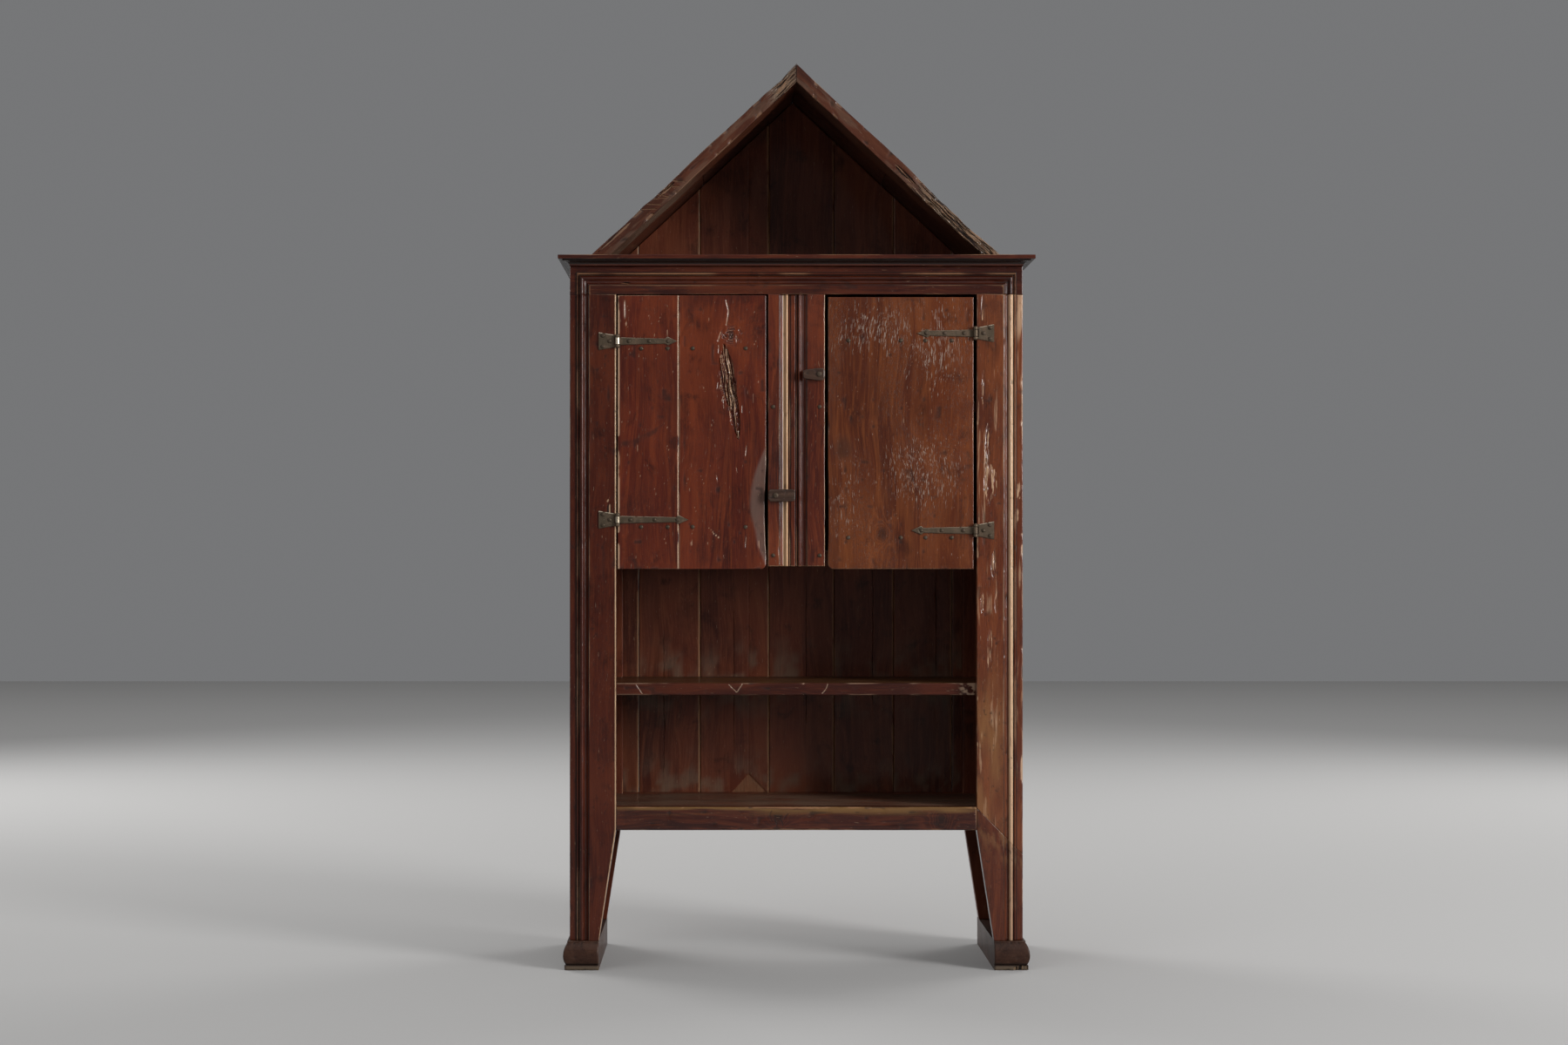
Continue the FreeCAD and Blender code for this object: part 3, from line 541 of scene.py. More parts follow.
ACROSS = (0.0, math.pi / 2, 0.0)
DEEP = (math.pi / 2, 0.0, 0.0)
frame_tones = dict(dark=(0.012, 0.0018, 0.0009), middle=(0.041, 0.0062, 0.0024),
                   light=(0.084, 0.0175, 0.0058), bare=(0.36, 0.21, 0.105),
                   film=(0.125, 0.062, 0.018))
rail_tones = dict(frame_tones, middle=(0.048, 0.0074, 0.0028), light=(0.096, 0.0205, 0.0066))
# The post's pale tone serves its worn arrises and the painted highlight on its bead.
post_tones = dict(dark=(0.030, 0.0042, 0.0017), middle=(0.094, 0.0140, 0.0046),
                  light=(0.165, 0.0350, 0.0095), bare=(0.74, 0.51, 0.29), wax=0.6)
# Painted light: the inside wood is lighter than the same wood outside, for the light that falls into the
# bays.
lightened_inside_tones = dict(dark=(0.036, 0.0075, 0.0038), middle=(0.105, 0.0225, 0.0095),
                    light=(0.170, 0.050, 0.0215), bare=(0.30, 0.185, 0.095), gloss=0.5,
                    film=(0.130, 0.092, 0.062), wax=0.2)
roof_tones = dict(dark=(0.018, 0.0046, 0.0025), middle=(0.050, 0.0118, 0.0054),
                  light=(0.098, 0.031, 0.0135), bare=(0.21, 0.135, 0.080),
                  film=(0.125, 0.088, 0.060), gloss=0.46, wax=0.3)
upright_wood = old_wood("upright_wood", **frame_tones, wax=0.3)
# The left stile's pale tone is lighter than the frame's, for wear and the painted highlight on its inner
# edge.
left_stile_wood = old_wood("left_stile_wood", **dict(frame_tones, bare=(0.62, 0.44, 0.27)), wax=0.3)
post_wood = old_wood("post_wood", **post_tones)
level_wood = old_wood("level_wood", **rail_tones, turn=ACROSS,
                      knots=[(-0.040, 0.327, 0.014), (0.312, 0.320, 0.018)])
deep_wood = old_wood("front_to_back_wood", **rail_tones, turn=DEEP)
splice_wood = old_wood("splice_wood", dark=(0.019, 0.0032, 0.0013), middle=(0.060, 0.0104, 0.0036),
                       light=(0.116, 0.0285, 0.0088), bare=(0.66, 0.47, 0.30),
                       film=(0.140, 0.060, 0.0215))
# Painted light: the right stile's wood is lighter than the frame's, as the side the light falls on, and its
# pale tone makes the painted highlight on its bead.
lit_right_stile_wood = old_wood("lit_right_stile_wood", dark=(0.030, 0.0055, 0.0020),
                            middle=(0.092, 0.0180, 0.0052), light=(0.170, 0.0460, 0.0130),
                            bare=(0.72, 0.52, 0.33), film=(0.150, 0.060, 0.0185), wax=0.6)
inside_upright = old_wood("inside_upright_wood", **lightened_inside_tones)
inside_level = old_wood("inside_level_wood", **lightened_inside_tones, turn=ACROSS)
shelf_wood = old_wood("shelf_wood", **dict(frame_tones, bare=(0.56, 0.40, 0.27)), turn=ACROSS,
                      wax=0.3, gloss=0.45)
inside_deep = old_wood("inside_front_to_back_wood", **lightened_inside_tones, turn=DEEP)
left_roof_wood = old_wood("left_roof_wood", **roof_tones, turn=(0.0, SLOPE - math.pi / 2, 0.0))
right_roof_wood = old_wood("right_roof_wood", **roof_tones, turn=(0.0, math.pi / 2 - SLOPE, 0.0))
left_door_wood = old_wood("waxed_left_door_wood", dark=(0.025, 0.0030, 0.0012),
                          middle=(0.083, 0.0108, 0.0035), light=(0.150, 0.0290, 0.0074),
                          bare=(0.56, 0.41, 0.27), film=(0.088, 0.050, 0.038),
                          knots=[(-0.140, 1.365, 0.010)])
right_door_wood = old_wood("waxed_right_door_wood", dark=(0.042, 0.0075, 0.0022),
                           middle=(0.104, 0.0225, 0.0052), light=(0.170, 0.0480, 0.0120),
                           bare=(0.36, 0.25, 0.16), open_grain=0.75,
                           glint=(0.27, 0.205, 0.165),
                           knots=[(0.184, 0.938, 0.014)], streak=7.0)
foot_wood = old_wood("waxed_foot_wood", dark=(0.012, 0.0047, 0.0028),
                     middle=(0.031, 0.0118, 0.0066), light=(0.060, 0.0265, 0.0150),
                     bare=(0.19, 0.130, 0.076), turn=DEEP, gloss=0.5, film=(0.10, 0.075, 0.050), wax=0.2)
button_wood = old_wood("waxed_button_wood", dark=(0.022, 0.0105, 0.0068),
                       middle=(0.048, 0.024, 0.0155), light=(0.085, 0.047, 0.031),
                       bare=(0.24, 0.155, 0.095), turn=ACROSS)
print("woods:", len(bpy.data.materials), "materials so far")

# %% [markdown]
# ## The iron
# The straps, plates and nails are hand-forged and have lost most of their scale. Iron rusts where
# it is left alone and shines where a hand rubs it, so one noise carries rust, pitting and the loss
# of metal gloss, and the mask of rubbed places brings the bright metal back. On the straps that mask
# also holds a painted highlight along the upper edge.

# %% A finish for wrought iron
def wrought_iron(name, dark, rust, bright):
    """Forged iron: broad rust stains, fine pits as cells, bright metal where the pale mask is high."""
    f = Finish(name)
    place = f.place()
    stain = f.cloud(place, 55.0, 5.0, 0.65)
    speck = f.cloud(place, 600.0, 3.0, 0.6)
    pits = 1.0 - f.cells(place, 420.0).step(0.1, 0.4)
    worn = (f.mask("pale") * 1.1 + (speck - 0.5) * 0.6).step(0.45, 0.9)
    rusty = (stain + (speck - 0.5) * 0.35).step(0.45, 0.72)
    color = f.mix(rusty, dark, rust)
    color = f.mix(worn, color, bright)
    color = f.mix((f.mask("grime") * 0.9).held(), color, tone(0.008, 0.006, 0.005))
    metal = (0.85 - rusty * 0.6 + worn * 0.4).held()
    roughness = (0.5 + rusty * 0.25 - worn * 0.22 + pits * 0.1).held()
    f.feed(f.shader.inputs["Metallic"], metal)
    return f.finish(color, roughness, stain * 0.7 - pits * 0.3 + speck * 0.3, 0.0008, 0.5)


strap_iron = wrought_iron("forged_strap_iron", dark=tone(0.082, 0.060, 0.040),
                          rust=tone(0.086, 0.050, 0.027), bright=tone(0.54, 0.46, 0.35))
nail_iron = wrought_iron("forged_nail_iron", dark=tone(0.058, 0.042, 0.028),
                         rust=tone(0.060, 0.034, 0.019), bright=tone(0.34, 0.28, 0.21))
print("irons:", strap_iron.name, nail_iron.name)

# %% [markdown]
# ## The front frame
# A joiner ran the moulding on the stiles and the top rail with one set of planes, then mitred it at
# the two corners. So here one section serves all of them: depth over inset from the outer edge. The
# section is softened a little, because three centuries of dusters have rounded every arris. Its
# curvature says where the duster rubs and where dirt stays, so no mask needs to be painted. Beads and
# edges that face the light get pale lines besides, partly wear and partly painted highlights.

# %% Sections and board facings
X, Y, Z = np.eye(3)
FRONT, FRONT_MIRROR, BACKWARD = (X, Z, -Y), (-X, Z, -Y), (-X, Z, Y)
RAIL, MIRROR_RAIL, BACK_RAIL, TOP = (-Z, X, -Y), (-Z, -X, -Y), (Z, X, Y), (Y, -X, Z)
LEFT_SIDE, RIGHT_SIDE = (-Y, Z, -X), (Y, Z, X)


FINE, SOFTENING = 1e-4, 0.0009


class Section:
    """A run moulding: depth over inset in metres, softened, with its arrises and grooves."""

    def __init__(self, points):
        inset, depth = np.array(points, float).T / 1000
        self.inset = np.arange(inset[0], inset[-1] + FINE, FINE)
        window = np.hanning(2 * round(SOFTENING / FINE) + 1)
        margin = len(window) // 2
        sharp = np.pad(np.interp(self.inset, inset, depth), margin, mode="edge")
        self.depths = np.convolve(sharp, window / window.sum(), "valid")
        fall = np.gradient(self.depths, FINE)
        bend = np.gradient(fall, FINE)
        self.arris = np.tanh(over(bend) / 4000)
        spread = np.hanning(25)
        padded = np.pad(over(-bend), len(spread) // 2, mode="edge")
        self.hollow = np.tanh(np.convolve(padded, spread / spread.sum(), "valid") / 1500)
        moving = np.abs(fall) > 0.02
        self.lines = self.inset[moving][::4]

    def run(self, face, inset):
        """Cuts the section into a face, rubs its arrises pale in stretches and dirties its grooves."""
        stretch = layered(face.l / 0.11, face.a / 0.4, face.seed + 51)
        face.n -= np.interp(inset, self.inset, self.depths)
        face.mark("pale", 0.9 * np.interp(inset, self.inset, self.arris) * smooth(0.22, 0.62, stretch))
        face.mark("grime", 0.9 * np.interp(inset, self.inset, self.hollow))
        return face


def arc_points(start, end, sag):
    """Nine points of a shallow arc from start to end whose middle is deeper by sag."""
    t = np.linspace(0, 1, 9)
    line = np.outer(1 - t, start) + np.outer(t, end)
    line[:, 1] += sag * np.sin(np.pi * t)
    return line.tolist()


frame_section = Section([(0, 12), (15, 12), (15, 8), (19, 8), (19, 10.5), (21, 10.5), (21, 7)]
                        + arc_points((21, 7), (32, 7), -5) + arc_points((32, 7), (40, 4), 2.5)
                        + [(42, 4), (42, 0), (130, 0)])
post_section = Section([(0, 9), (4.5, 9), (5, 10.5), (6.3, 10.5), (6.5, 8), (8.5, 8), (8.7, 10)]
                       + [(10, 10), (10, 8)]
                       + arc_points((10, 8), (18, 8), -4.5) + arc_points((18, 8), (27, 4), 2)
                       + [(28.5, 4), (28.5, 1.5), (30.5, 1.5), (30.5, 0), (80, 0)])
print("sections:", len(frame_section.lines), "and", len(post_section.lines), "grid lines")

# %% Stiles, rails and post
def worked(board, seed, step_across=0.006, step_along=0.006, radius=0.0018, rub=0.75, depth=0.0009,
           across=(), along=()):
    """A plain planed face with worn edges, ready for more carving.

    The steps are those of its grid, radius and rub belong to its edges, depth to the plane marks, and
    across and along are extra grid lines.
    """
    a_lines = grid_lines(board.width, step_across, radius, across)
    l_lines = grid_lines(board.length, step_along, radius, along)
    return Carving(a_lines, l_lines, seed).planed(depth).rounded(radius, rub)


def leg_taper(a, z):
    """Inner edge of a leg: drawn in by 37 mm from the bottom rail to the foot, the moulding kept."""
    drawn = LEG_DRAW * np.clip((LEG_TOP - z) / (LEG_TOP - FOOT_TOP), 0, 1)
    return a - drawn * np.clip((a - MOULDING_WIDTH) / (STILE_WIDTH - MOULDING_WIDTH), 0, 1)


def leg_outline(a, l, n):
    """Outline of a stile that stands on a foot."""
    return leg_taper(a, l + FOOT_TOP), l, n


def stile_face(board, seed, across=(), along=()):
    """A stile: moulding along its outer edge, knocks and scratches."""
    face = worked(board, seed, 0.0035, 0.006, across=(*frame_section.lines, *across), along=along)
    frame_section.run(face, face.a)
    return face.dented(0.0008, 0.22).dented(0.0005, 0.3, 0.004)


def edge_wear_and_highlight(face, distance, amount, reach=0.0018, gaps=0.45):
    """Pale line where an arris is rubbed along its whole length and catches the light: wear and a painted
    highlight, with gaps where noise is low.
    """
    broken = smooth(gaps - 0.3, gaps, layered(face.l / 0.035, face.a / 0.5, face.seed + 71))
    face.mark("pale", amount * broken * np.exp(-distance / reach))
    return face


def band_wear_and_highlight(face):
    """Pale stretches on the flat outer band of the moulding, from noise long with the grain: wear, and a
    painted highlight where the band faces the light.
    """
    return smooth(0.017, 0.013, face.a) * face.patches(0.25, 0.65, 0.008, 0.12, 79)


left_stile = Board("left_front_stile", *FRONT)
face = stile_face(left_stile, 3).scored([((0.067, 0.634), (0.100, 0.592))], 0.0014, 0.001, 0.5)
face.gouged(0.084, 0.93, 0.008, 0.05, 0.0012)
# Pale line on the inner edge: wear, and a painted highlight where it faces the light.
edge_wear_and_highlight(face, over(face.width - face.a, 0.0015), 1.3, 0.0014, 0.3)
make_board(left_stile, face, left_stile_wood, leg_outline)

right_stile = Board("right_front_stile", *FRONT_MIRROR)
face = stile_face(right_stile, 8, np.arange(0.055, 0.096, 0.0013), np.arange(0.40, 1.05, 0.0055))
tears = [(0.078, 0.870, 0.011, 0.130, 0.0013), (0.071, 0.800, 0.030, 0.090, 0.0010),
         (0.064, 0.625, 0.010, 0.065, 0.0011), (0.088, 0.545, 0.010, 0.050, 0.0010),
         (0.058, 0.545, 0.010, 0.055, 0.0010), (0.072, 0.440, 0.014, 0.100, 0.0006),
         (0.087, 1.180, 0.007, 0.070, 0.0008), (0.086, 1.005, 0.007, 0.080, 0.0008),
         (0.009, 0.765, 0.008, 0.110, 0.0007)]
for tear in tears:
    face.gouged(*tear, lean=-0.03, fibre=0.0012, darkening=0.3, bare=0.7)
face.chipped(0.002, 0.006, 0.30)
bleached = smooth(0.50, 0.22, face.l) * smooth(0.03, 0.06, face.a)
face.mark("film", bleached * face.patches(0.2, 0.8, 0.02, 0.15, 77))
streaked = face.patches(0.50, 0.72, 0.006, 0.09, 78) * smooth(0.04, 0.06, face.a)
face.mark("pale", 0.5 * streaked)
# Painted highlight: the bead's pale line and the pale outer band are wear and light caught from the right,
# painted stronger higher up, where more light falls.
more_light_above = smooth(0.0, 0.75, face.l)
edge_wear_and_highlight(face, over(np.abs(face.a - BEAD), 0.0042), 0.75 + 0.5 * more_light_above, 0.0012, 0.2)
face.mark("pale", (0.35 + 0.27 * more_light_above) * band_wear_and_highlight(face))
make_board(right_stile, face, lit_right_stile_wood,
           lambda a, l, n: (a, l + SCARF_SLOPE * a * np.clip(1 - l / 0.35, 0, 1), n))

splice = Board("right_leg_splice", *FRONT_MIRROR)
face = stile_face(splice, 13)
edge_wear_and_highlight(face, face.length - face.l, 0.8, 0.0012)
# Painted highlight: a pale line on the bead, wear and light caught from the right; the outer band's pale
# stretches fade towards the foot, as the light does.
edge_wear_and_highlight(face, over(np.abs(face.a - BEAD), 0.0036), 0.65, 0.0012, 0.2)
scuffed = smooth(0.12, 0.0, face.length - face.l)
scuffed = scuffed * face.patches(0.45, 0.7, 0.008, 0.02, 80)
face.mark("film", 0.7 * scuffed)
face.mark("pale", 0.35 * band_wear_and_highlight(face) * smooth(0.0, 0.25, face.l))


def splice_outline(a, l, n):
    """The scarfed leg end: tapered inside, its top cut on the slant that meets the stile."""
    low = l - SCARF_SLOPE * (STILE_WIDTH - a) * np.clip((l - 0.05) / (splice.length - 0.05), 0, 1)
    return leg_outline(a, low, n)


make_board(splice, face, splice_wood, splice_outline)

top_rail = Board("top_rail", *RAIL)
mitres = np.concatenate([frame_section.lines, top_rail.length - frame_section.lines])
face = worked(top_rail, 21, 0.004, 0.006, across=frame_section.lines, along=mitres)
frame_section.run(face, np.minimum(face.a, face.edge_l))
face.gouged(0.038, 0.122, 0.007, 0.018, 0.002).gouged(0.054, 0.699, 0.006, 0.014, 0.002)
make_board(top_rail, face.dented(0.0007, 0.2), level_wood)

bottom_rail = Board("bottom_rail", *RAIL)
face = worked(bottom_rail, 27, 0.0014, 0.0018, 0.0032, 1.0)
face.chipped(0.0014, 0.006, 0.30).dented(0.0010, 0.25)
worn_top = smooth(0.022, 0.004, face.a) * smooth(0.25, 0.7, layered(face.l / 0.12, face.a / 0.01, 28))
face.mark("film", worn_top)
checks_in_millimetres = [((8, 335), (15, 331), (24, 332), (31, 336)), ((27, 341), (36, 346), (42, 345)),
                         ((14, 371), (20, 364), (27, 361)), ((25, 352), (31, 357), (41, 359)),
                         ((18, 340), (20, 347), (19, 356))]
for points in checks_in_millimetres:
    check = np.array(points) / 1000
    face.scored(zip(check[:-1], check[1:]), 0.0018, 0.0005, 0.0, 0.75)
make_board(bottom_rail, face, level_wood)

post = Board("muntin", *FRONT)
centre = post.width / 2 - 0.007
face = worked(post, 33, 0.005, 0.005, across=(centre + post_section.lines, centre - post_section.lines))
post_section.run(face, np.abs(face.a - centre))
# Painted highlights: pale lines on the post's right edge and on its left bead, partly wear, partly light
# caught from the right.
edge_wear_and_highlight(face, face.width - face.a, 0.8)
edge_wear_and_highlight(face, over(np.abs(face.a - centre + 0.0165), 0.0045), 1.2, 0.0012, 0.2)
make_board(post, face.dented(0.0007, 0.2), post_wood)
print("front frame: two stiles, scarfed leg end, two rails and the post")

# %% [markdown]
# ## The doors
# The left door is two planks, the right one a single wide plank with a more open, orange grain. The
# free edges are worn hollow where hands have pulled at them, so `warp` draws the outline in there. On
# the left door a knot has torn out and left a long ragged gouge, which has to be real depth: it
# throws a shadow and its fibres catch the light.

# %% Door planks
def free_edge(board, worn_depth):
    """Outline of a free door edge: worn hollow low down and rounded at the bottom corner."""
    def outline(a, l, n):
        worn = worn_depth * over(1, ((l - 0.124) / 0.1)**2)
        share = over(a / board.width, 0.6) / 0.4
        return a - (worn + quarter_round(0.012, l)) * share, l, n
    return outline


def hand_worn(face, amount):
    """A pale crescent along the free edge, low down, where the wax and colour are rubbed away."""
    u = (face.width - face.a) / 0.033
    v = (face.l - 0.135) / 0.130
    rough = layered(face.a / 0.025, face.l / 0.08, face.seed + 61)
    bow = smooth(-0.08, 0.22, over(1, v * v) * (0.75 + 0.4 * rough) - u)
    face.mark("film", amount * bow)
    face.n -= 0.0022 * bow * smooth(1.1, 0, u)
    return face


def ticked(face, count, seed):
    """Short scratches scattered over a face, most of them along the grain."""
    dice = np.random.default_rng(seed).random((count, 4))
    a = face.width * (0.05 + 0.9 * dice[:, 0])
    l = face.length * (0.03 + 0.94 * dice[:, 1])
    run = 0.006 + 0.016 * dice[:, 2]
    lean = (dice[:, 3] - 0.5) * 0.9
    marks = [((x, y), (x + r * k, y + r)) for x, y, r, k in zip(a, l, run, lean)]
    return face.scored(marks, 0.0013, 0.0008, 0.65)


hinge_plank = Board("left_door_hinge_plank", *FRONT)
face = worked(hinge_plank, 41, 0.003, 0.004, depth=0.0016).dented(0.0008, 0.2)
face.scored([((0.014, 0.578), (0.016, 0.535)), ((0.016, 0.535), (0.020, 0.52))], 0.0018, 0.0015)
ticked(face, 24, 1)
stain = smooth(0.013, 0.002, np.abs(face.l - 0.270 - 0.55 * over(face.a, 0.03)))
face.mark("grime", 0.55 * stain * face.patches(0.3, 0.6, 0.03, 0.03, 42))
# Pale lines on both edges of the plank: wear, and painted highlights where they catch the light.
edge_wear_and_highlight(face, over(face.a, 0.0025), 1.25, 0.0014)
edge_wear_and_highlight(face, over(face.width - face.a, 0.0014), 1.2, 0.0012)
make_board(hinge_plank, face, left_door_wood,
           lambda a, l, n: (a - 0.0035 * (1 - a / hinge_plank.width), l, n))

lock_plank = Board("left_door_lock_plank", *FRONT)
gouge_across, gouge_along = np.arange(0.074, 0.150, 0.0010), np.arange(0.27, 0.54, 0.0019)
face = worked(lock_plank, 44, 0.0028, 0.0040, depth=0.0016, across=gouge_across, along=gouge_along)
face.dented(0.0008, 0.2)
face.gouged(0.105, 0.410, 0.034, 0.150, 0.0060, -0.12, 0.0013, 0.4)
face.gouged(0.117, 0.350, 0.024, 0.150, 0.0055, -0.15, 0.0012, 0.4)
swirl = np.hypot(face.a - 0.111, (face.l - 0.503) * 1.35)
swirl = swirl + 0.012 * layered(face.a / 0.014, face.l / 0.014, 45)
near_knot = smooth(0.048, 0.016, swirl)
growth = np.sin(swirl / 0.0011)
broken = face.patches(0.45, 0.6, 0.007, 0.010, 46)
curl = near_knot * broken * (0.5 + 0.5 * growth)
face.n -= 0.0018 * curl
face.mark("grime", 0.75 * curl)
face.mark("pale", 0.55 * near_knot * broken * smooth(0.2, -0.8, growth))
face.scored([((0.101, 0.579), (0.107, 0.555)), ((0.107, 0.555), (0.102, 0.525)),
             ((0.090, 0.51), (0.084, 0.49)), ((0.064, 0.09), (0.076, 0.075)),
             ((0.076, 0.075), (0.088, 0.066))], 0.0018, 0.0014)
ticked(face, 34, 2)
hand_worn(face, 0.8)
# Pale line on the seam edge: wear, and a painted highlight where it catches the light.
edge_wear_and_highlight(face, face.a, 1.1)
make_board(lock_plank, face, left_door_wood, free_edge(lock_plank, 0.0035))

right_plank = Board("right_door_plank", *FRONT_MIRROR)
face = worked(right_plank, 52, 0.003, 0.0035, depth=0.0015).dented(0.0008, 0.25)
ticked(face, 46, 3)
# Painted glints: patches on the upper and middle door where light glinting in its open pores is painted in.
wander = 0.5 * (layered(face.a / 0.03, face.l / 0.06, 55) - 0.5)
for spot_x, spot_z, half_x, half_z, amount in (
        (0.17, 1.375, 0.13, 0.075, 0.9), (0.30, 1.340, 0.09, 0.12, 0.9),
        (0.27, 1.070, 0.13, 0.100, 0.8), (0.10, 1.02, 0.05, 0.15, 0.5)):
    u = (DOOR_EDGE - face.a - spot_x) / half_x
    v = (face.l + DOOR_FOOT - spot_z) / half_z
    face.mark("fleck", amount * smooth(1.2, 0.2, np.hypot(u, v) + wander))
face.mark("grime", 0.5 * smooth(0.05, 0.01, np.hypot((face.a - 0.28) * 1.4, face.l - 0.26)))
make_board(right_plank, face, right_door_wood, free_edge(right_plank, 0.0012))

places = ("left_door_upper", "left_door_lower", "right_door_upper", "right_door_lower")
for number, place in enumerate(places):
    batten = Board(place + "_batten", *BACK_RAIL)
    make_board(batten, worked(batten, 60 + number, 0.006, 0.008, 0.003), inside_level)
print("doors: three planks and four battens")

# %% [markdown]
# ## Boards of the carcass
# Sides, back and shelves are plain boards, so short loops make most of them from facing and wood.
# They still differ: each has its own plane marks and its own piece of grain. Back planks end under
# the slope of the roof and shelves are notched round the rear stiles, which is again `warp`.

# %% Sides, back and shelves
ROOF_HALF, ROOF_RISE, PLANK_EAVES = 0.42444, 0.394877, 1.236
CHIPPED_PLANK = 3


def roof_line(board):
    """Top of a back plank: flat outside the roof boards, then parallel to the slope.

    Behind its rounded front edges a plank reaches a little further, so that no light passes its seams.
    """
    def outline(a, l, n):
        x = np.abs(board.origin[0] + a)
        rise = over(1, x / ROOF_HALF) * ROOF_RISE
        tongue = 0.0009 * (a / board.width - 0.5) * smooth(-0.004, -0.006, n)
        inside = np.abs(board.origin[0] + board.width / 2) < 0.4
        tucked = 0.002 * (rise > 0.003) * smooth(-0.003, -0.005, n) * (l / board.length)**20
        return a + tongue * inside, l * (PLANK_EAVES + rise) / board.length + tucked, n
    return outline


for number in range(1, 8):
    plank = Board(f"back_plank_{number}", *FRONT)
    corners = [-plank.origin[0] + x for x in (-ROOF_HALF, 0, ROOF_HALF)]
    crack = plank.width * (0.25 + 0.08 * number)
    fine = crack + np.linspace(-0.002, 0.002, 9)
    chip_across, chip_along = (), ()
    if number == CHIPPED_PLANK:
        chip_across, chip_along = np.arange(0.06, 0.165, 0.002), np.arange(0.02, 0.1, 0.002)
    face = worked(plank, 70 + number, 0.007, 0.011, 0.0024, 0.9, 0.0018,
                  across=(*corners, *fine, *chip_across), along=chip_along)
    face.cracked(crack, 0.05 * number, 0.35, 0.0012, 0.002)
    # Pale line on each plank's seam edge: wear, and a painted highlight where it catches the light.
    edge_wear_and_highlight(face, face.width - face.a, 1.1, 0.0048)
    for level in (0.05, 0.315):
        lying = smooth(0.13, 0.0, np.abs(face.l - level))
        face.mark("film", 0.55 * (lying * face.patches(0.45, 0.75, 0.03, 0.04, 79 + number, 4)))
    if number == CHIPPED_PLANK:
        chip = smooth(0.002, 0, np.abs(face.a - 0.111) * 1.1 - over(0.094, face.l))
        face.n -= 0.0015 * chip
        face.mark("pale", 0.55 * chip)
    make_board(plank, face, inside_upright, roof_line(plank))

for node, facing, wood in (("left_side_front_board", LEFT_SIDE, upright_wood),
                           ("left_side_rear_board", LEFT_SIDE, upright_wood),
                           ("right_side_front_board", RIGHT_SIDE, upright_wood),
                           ("right_side_rear_board", RIGHT_SIDE, upright_wood),
                           ("rear_top_rail", BACKWARD, inside_level),
                           ("rear_bottom_rail", RAIL, inside_level),
                           ("bottom_front_board", TOP, inside_level),
                           ("bottom_rear_board", TOP, inside_level),
                           ("top_board", TOP, inside_level)):
    board = Board(node, *facing)
    face = worked(board, 90 + len(node), 0.008, 0.011, 0.0022, 0.6, 0.0014).dented(0.0008, 0.18)
    if facing is TOP:
        face.film = 0.8 * layered(face.a / 0.08, face.l / 0.1, 96)
    make_board(board, face, wood)

for node, facing in (("left_rear_stile", FRONT), ("right_rear_stile", FRONT_MIRROR)):
    board = Board(node, *facing)
    make_board(board, worked(board, 110, 0.007, 0.008), inside_upright, leg_outline)

for node in ("cupboard_floor", "inner_shelf"):
    board = Board(node, *TOP)
    before, after = NOTCH_LENGTH - 0.0001, NOTCH_LENGTH + 0.0001
    notches = [before, after, board.length - after, board.length - before]
    face = worked(board, 115, 0.008, 0.009, 0.0022, 0.6, 0.0014, along=notches)
    face.film = 0.8 * layered(face.a / 0.08, face.l / 0.1, 97)
    make_board(board, face, inside_level, lambda a, l, n: (
        a * (1 - NOTCH_DEPTH / SHELF_DEPTH * (np.abs(l - SHELF_HALF) > OPENING_HALF)), l, n))

middle = Board("middle_shelf", *RAIL)
face = worked(middle, 120, 0.0011, 0.0013, 0.0028, 0.7).chipped(0.0016, 0.005, 0.2).dented(0.001, 0.25)
face.scored([((0.003, 0.319), (0.020, 0.336)), ((0.020, 0.336), (0.002, 0.348)),
             ((0.004, 0.119), (0.022, 0.131)), ((0.002, 0.533), (0.013, 0.529)),
             ((0.013, 0.529), (0.022, 0.521))], 0.0014, 0.0014, 1.0)
worn_end = smooth(0.805, 0.83, face.l) * smooth(0.862, 0.845, face.l)
face.mark("pale", worn_end * face.patches(0.2, 0.7, 0.006, 0.01, 121))


def shelf_outline(a, l, n):
    """Shelf: front corner worn away on the right, rear corners notched round the stiles."""
    worn = 0.014 * np.clip((l - 0.826) / 0.102, 0, 1) * np.clip(1 + n / 0.15, 0, 1)
    narrow = 1 - NOTCH_LENGTH / SHELF_HALF * (n < -NOTCH_FRONT)
    return a, SHELF_HALF + (l - SHELF_HALF) * narrow, n - worn


notch_cuts = np.array([NOTCH_FRONT - 0.0002, NOTCH_FRONT + 0.0002]) / middle.thickness
make_board(middle, face, shelf_wood, shelf_outline, 16, 0.7, cuts=notch_cuts)
print("carcass: back planks, sides, rear frame and shelves")

# %% [markdown]
# ## Cornice, gable and feet
# The cornice is one section run along three sides and mitred, so each length is the section swept on
# a line that grows longer with the projection. Rafters and roof boards are boards again, laid on the
# slope and cut level at the toe and plumb at the apex. A foot is a thick board whose front and outer
# edges swell with height.

# %% Swept cornice
CORNICE_REACH, TOP_ARRIS, DRIP_ARRIS = 0.024, 1.5355, 1.5274


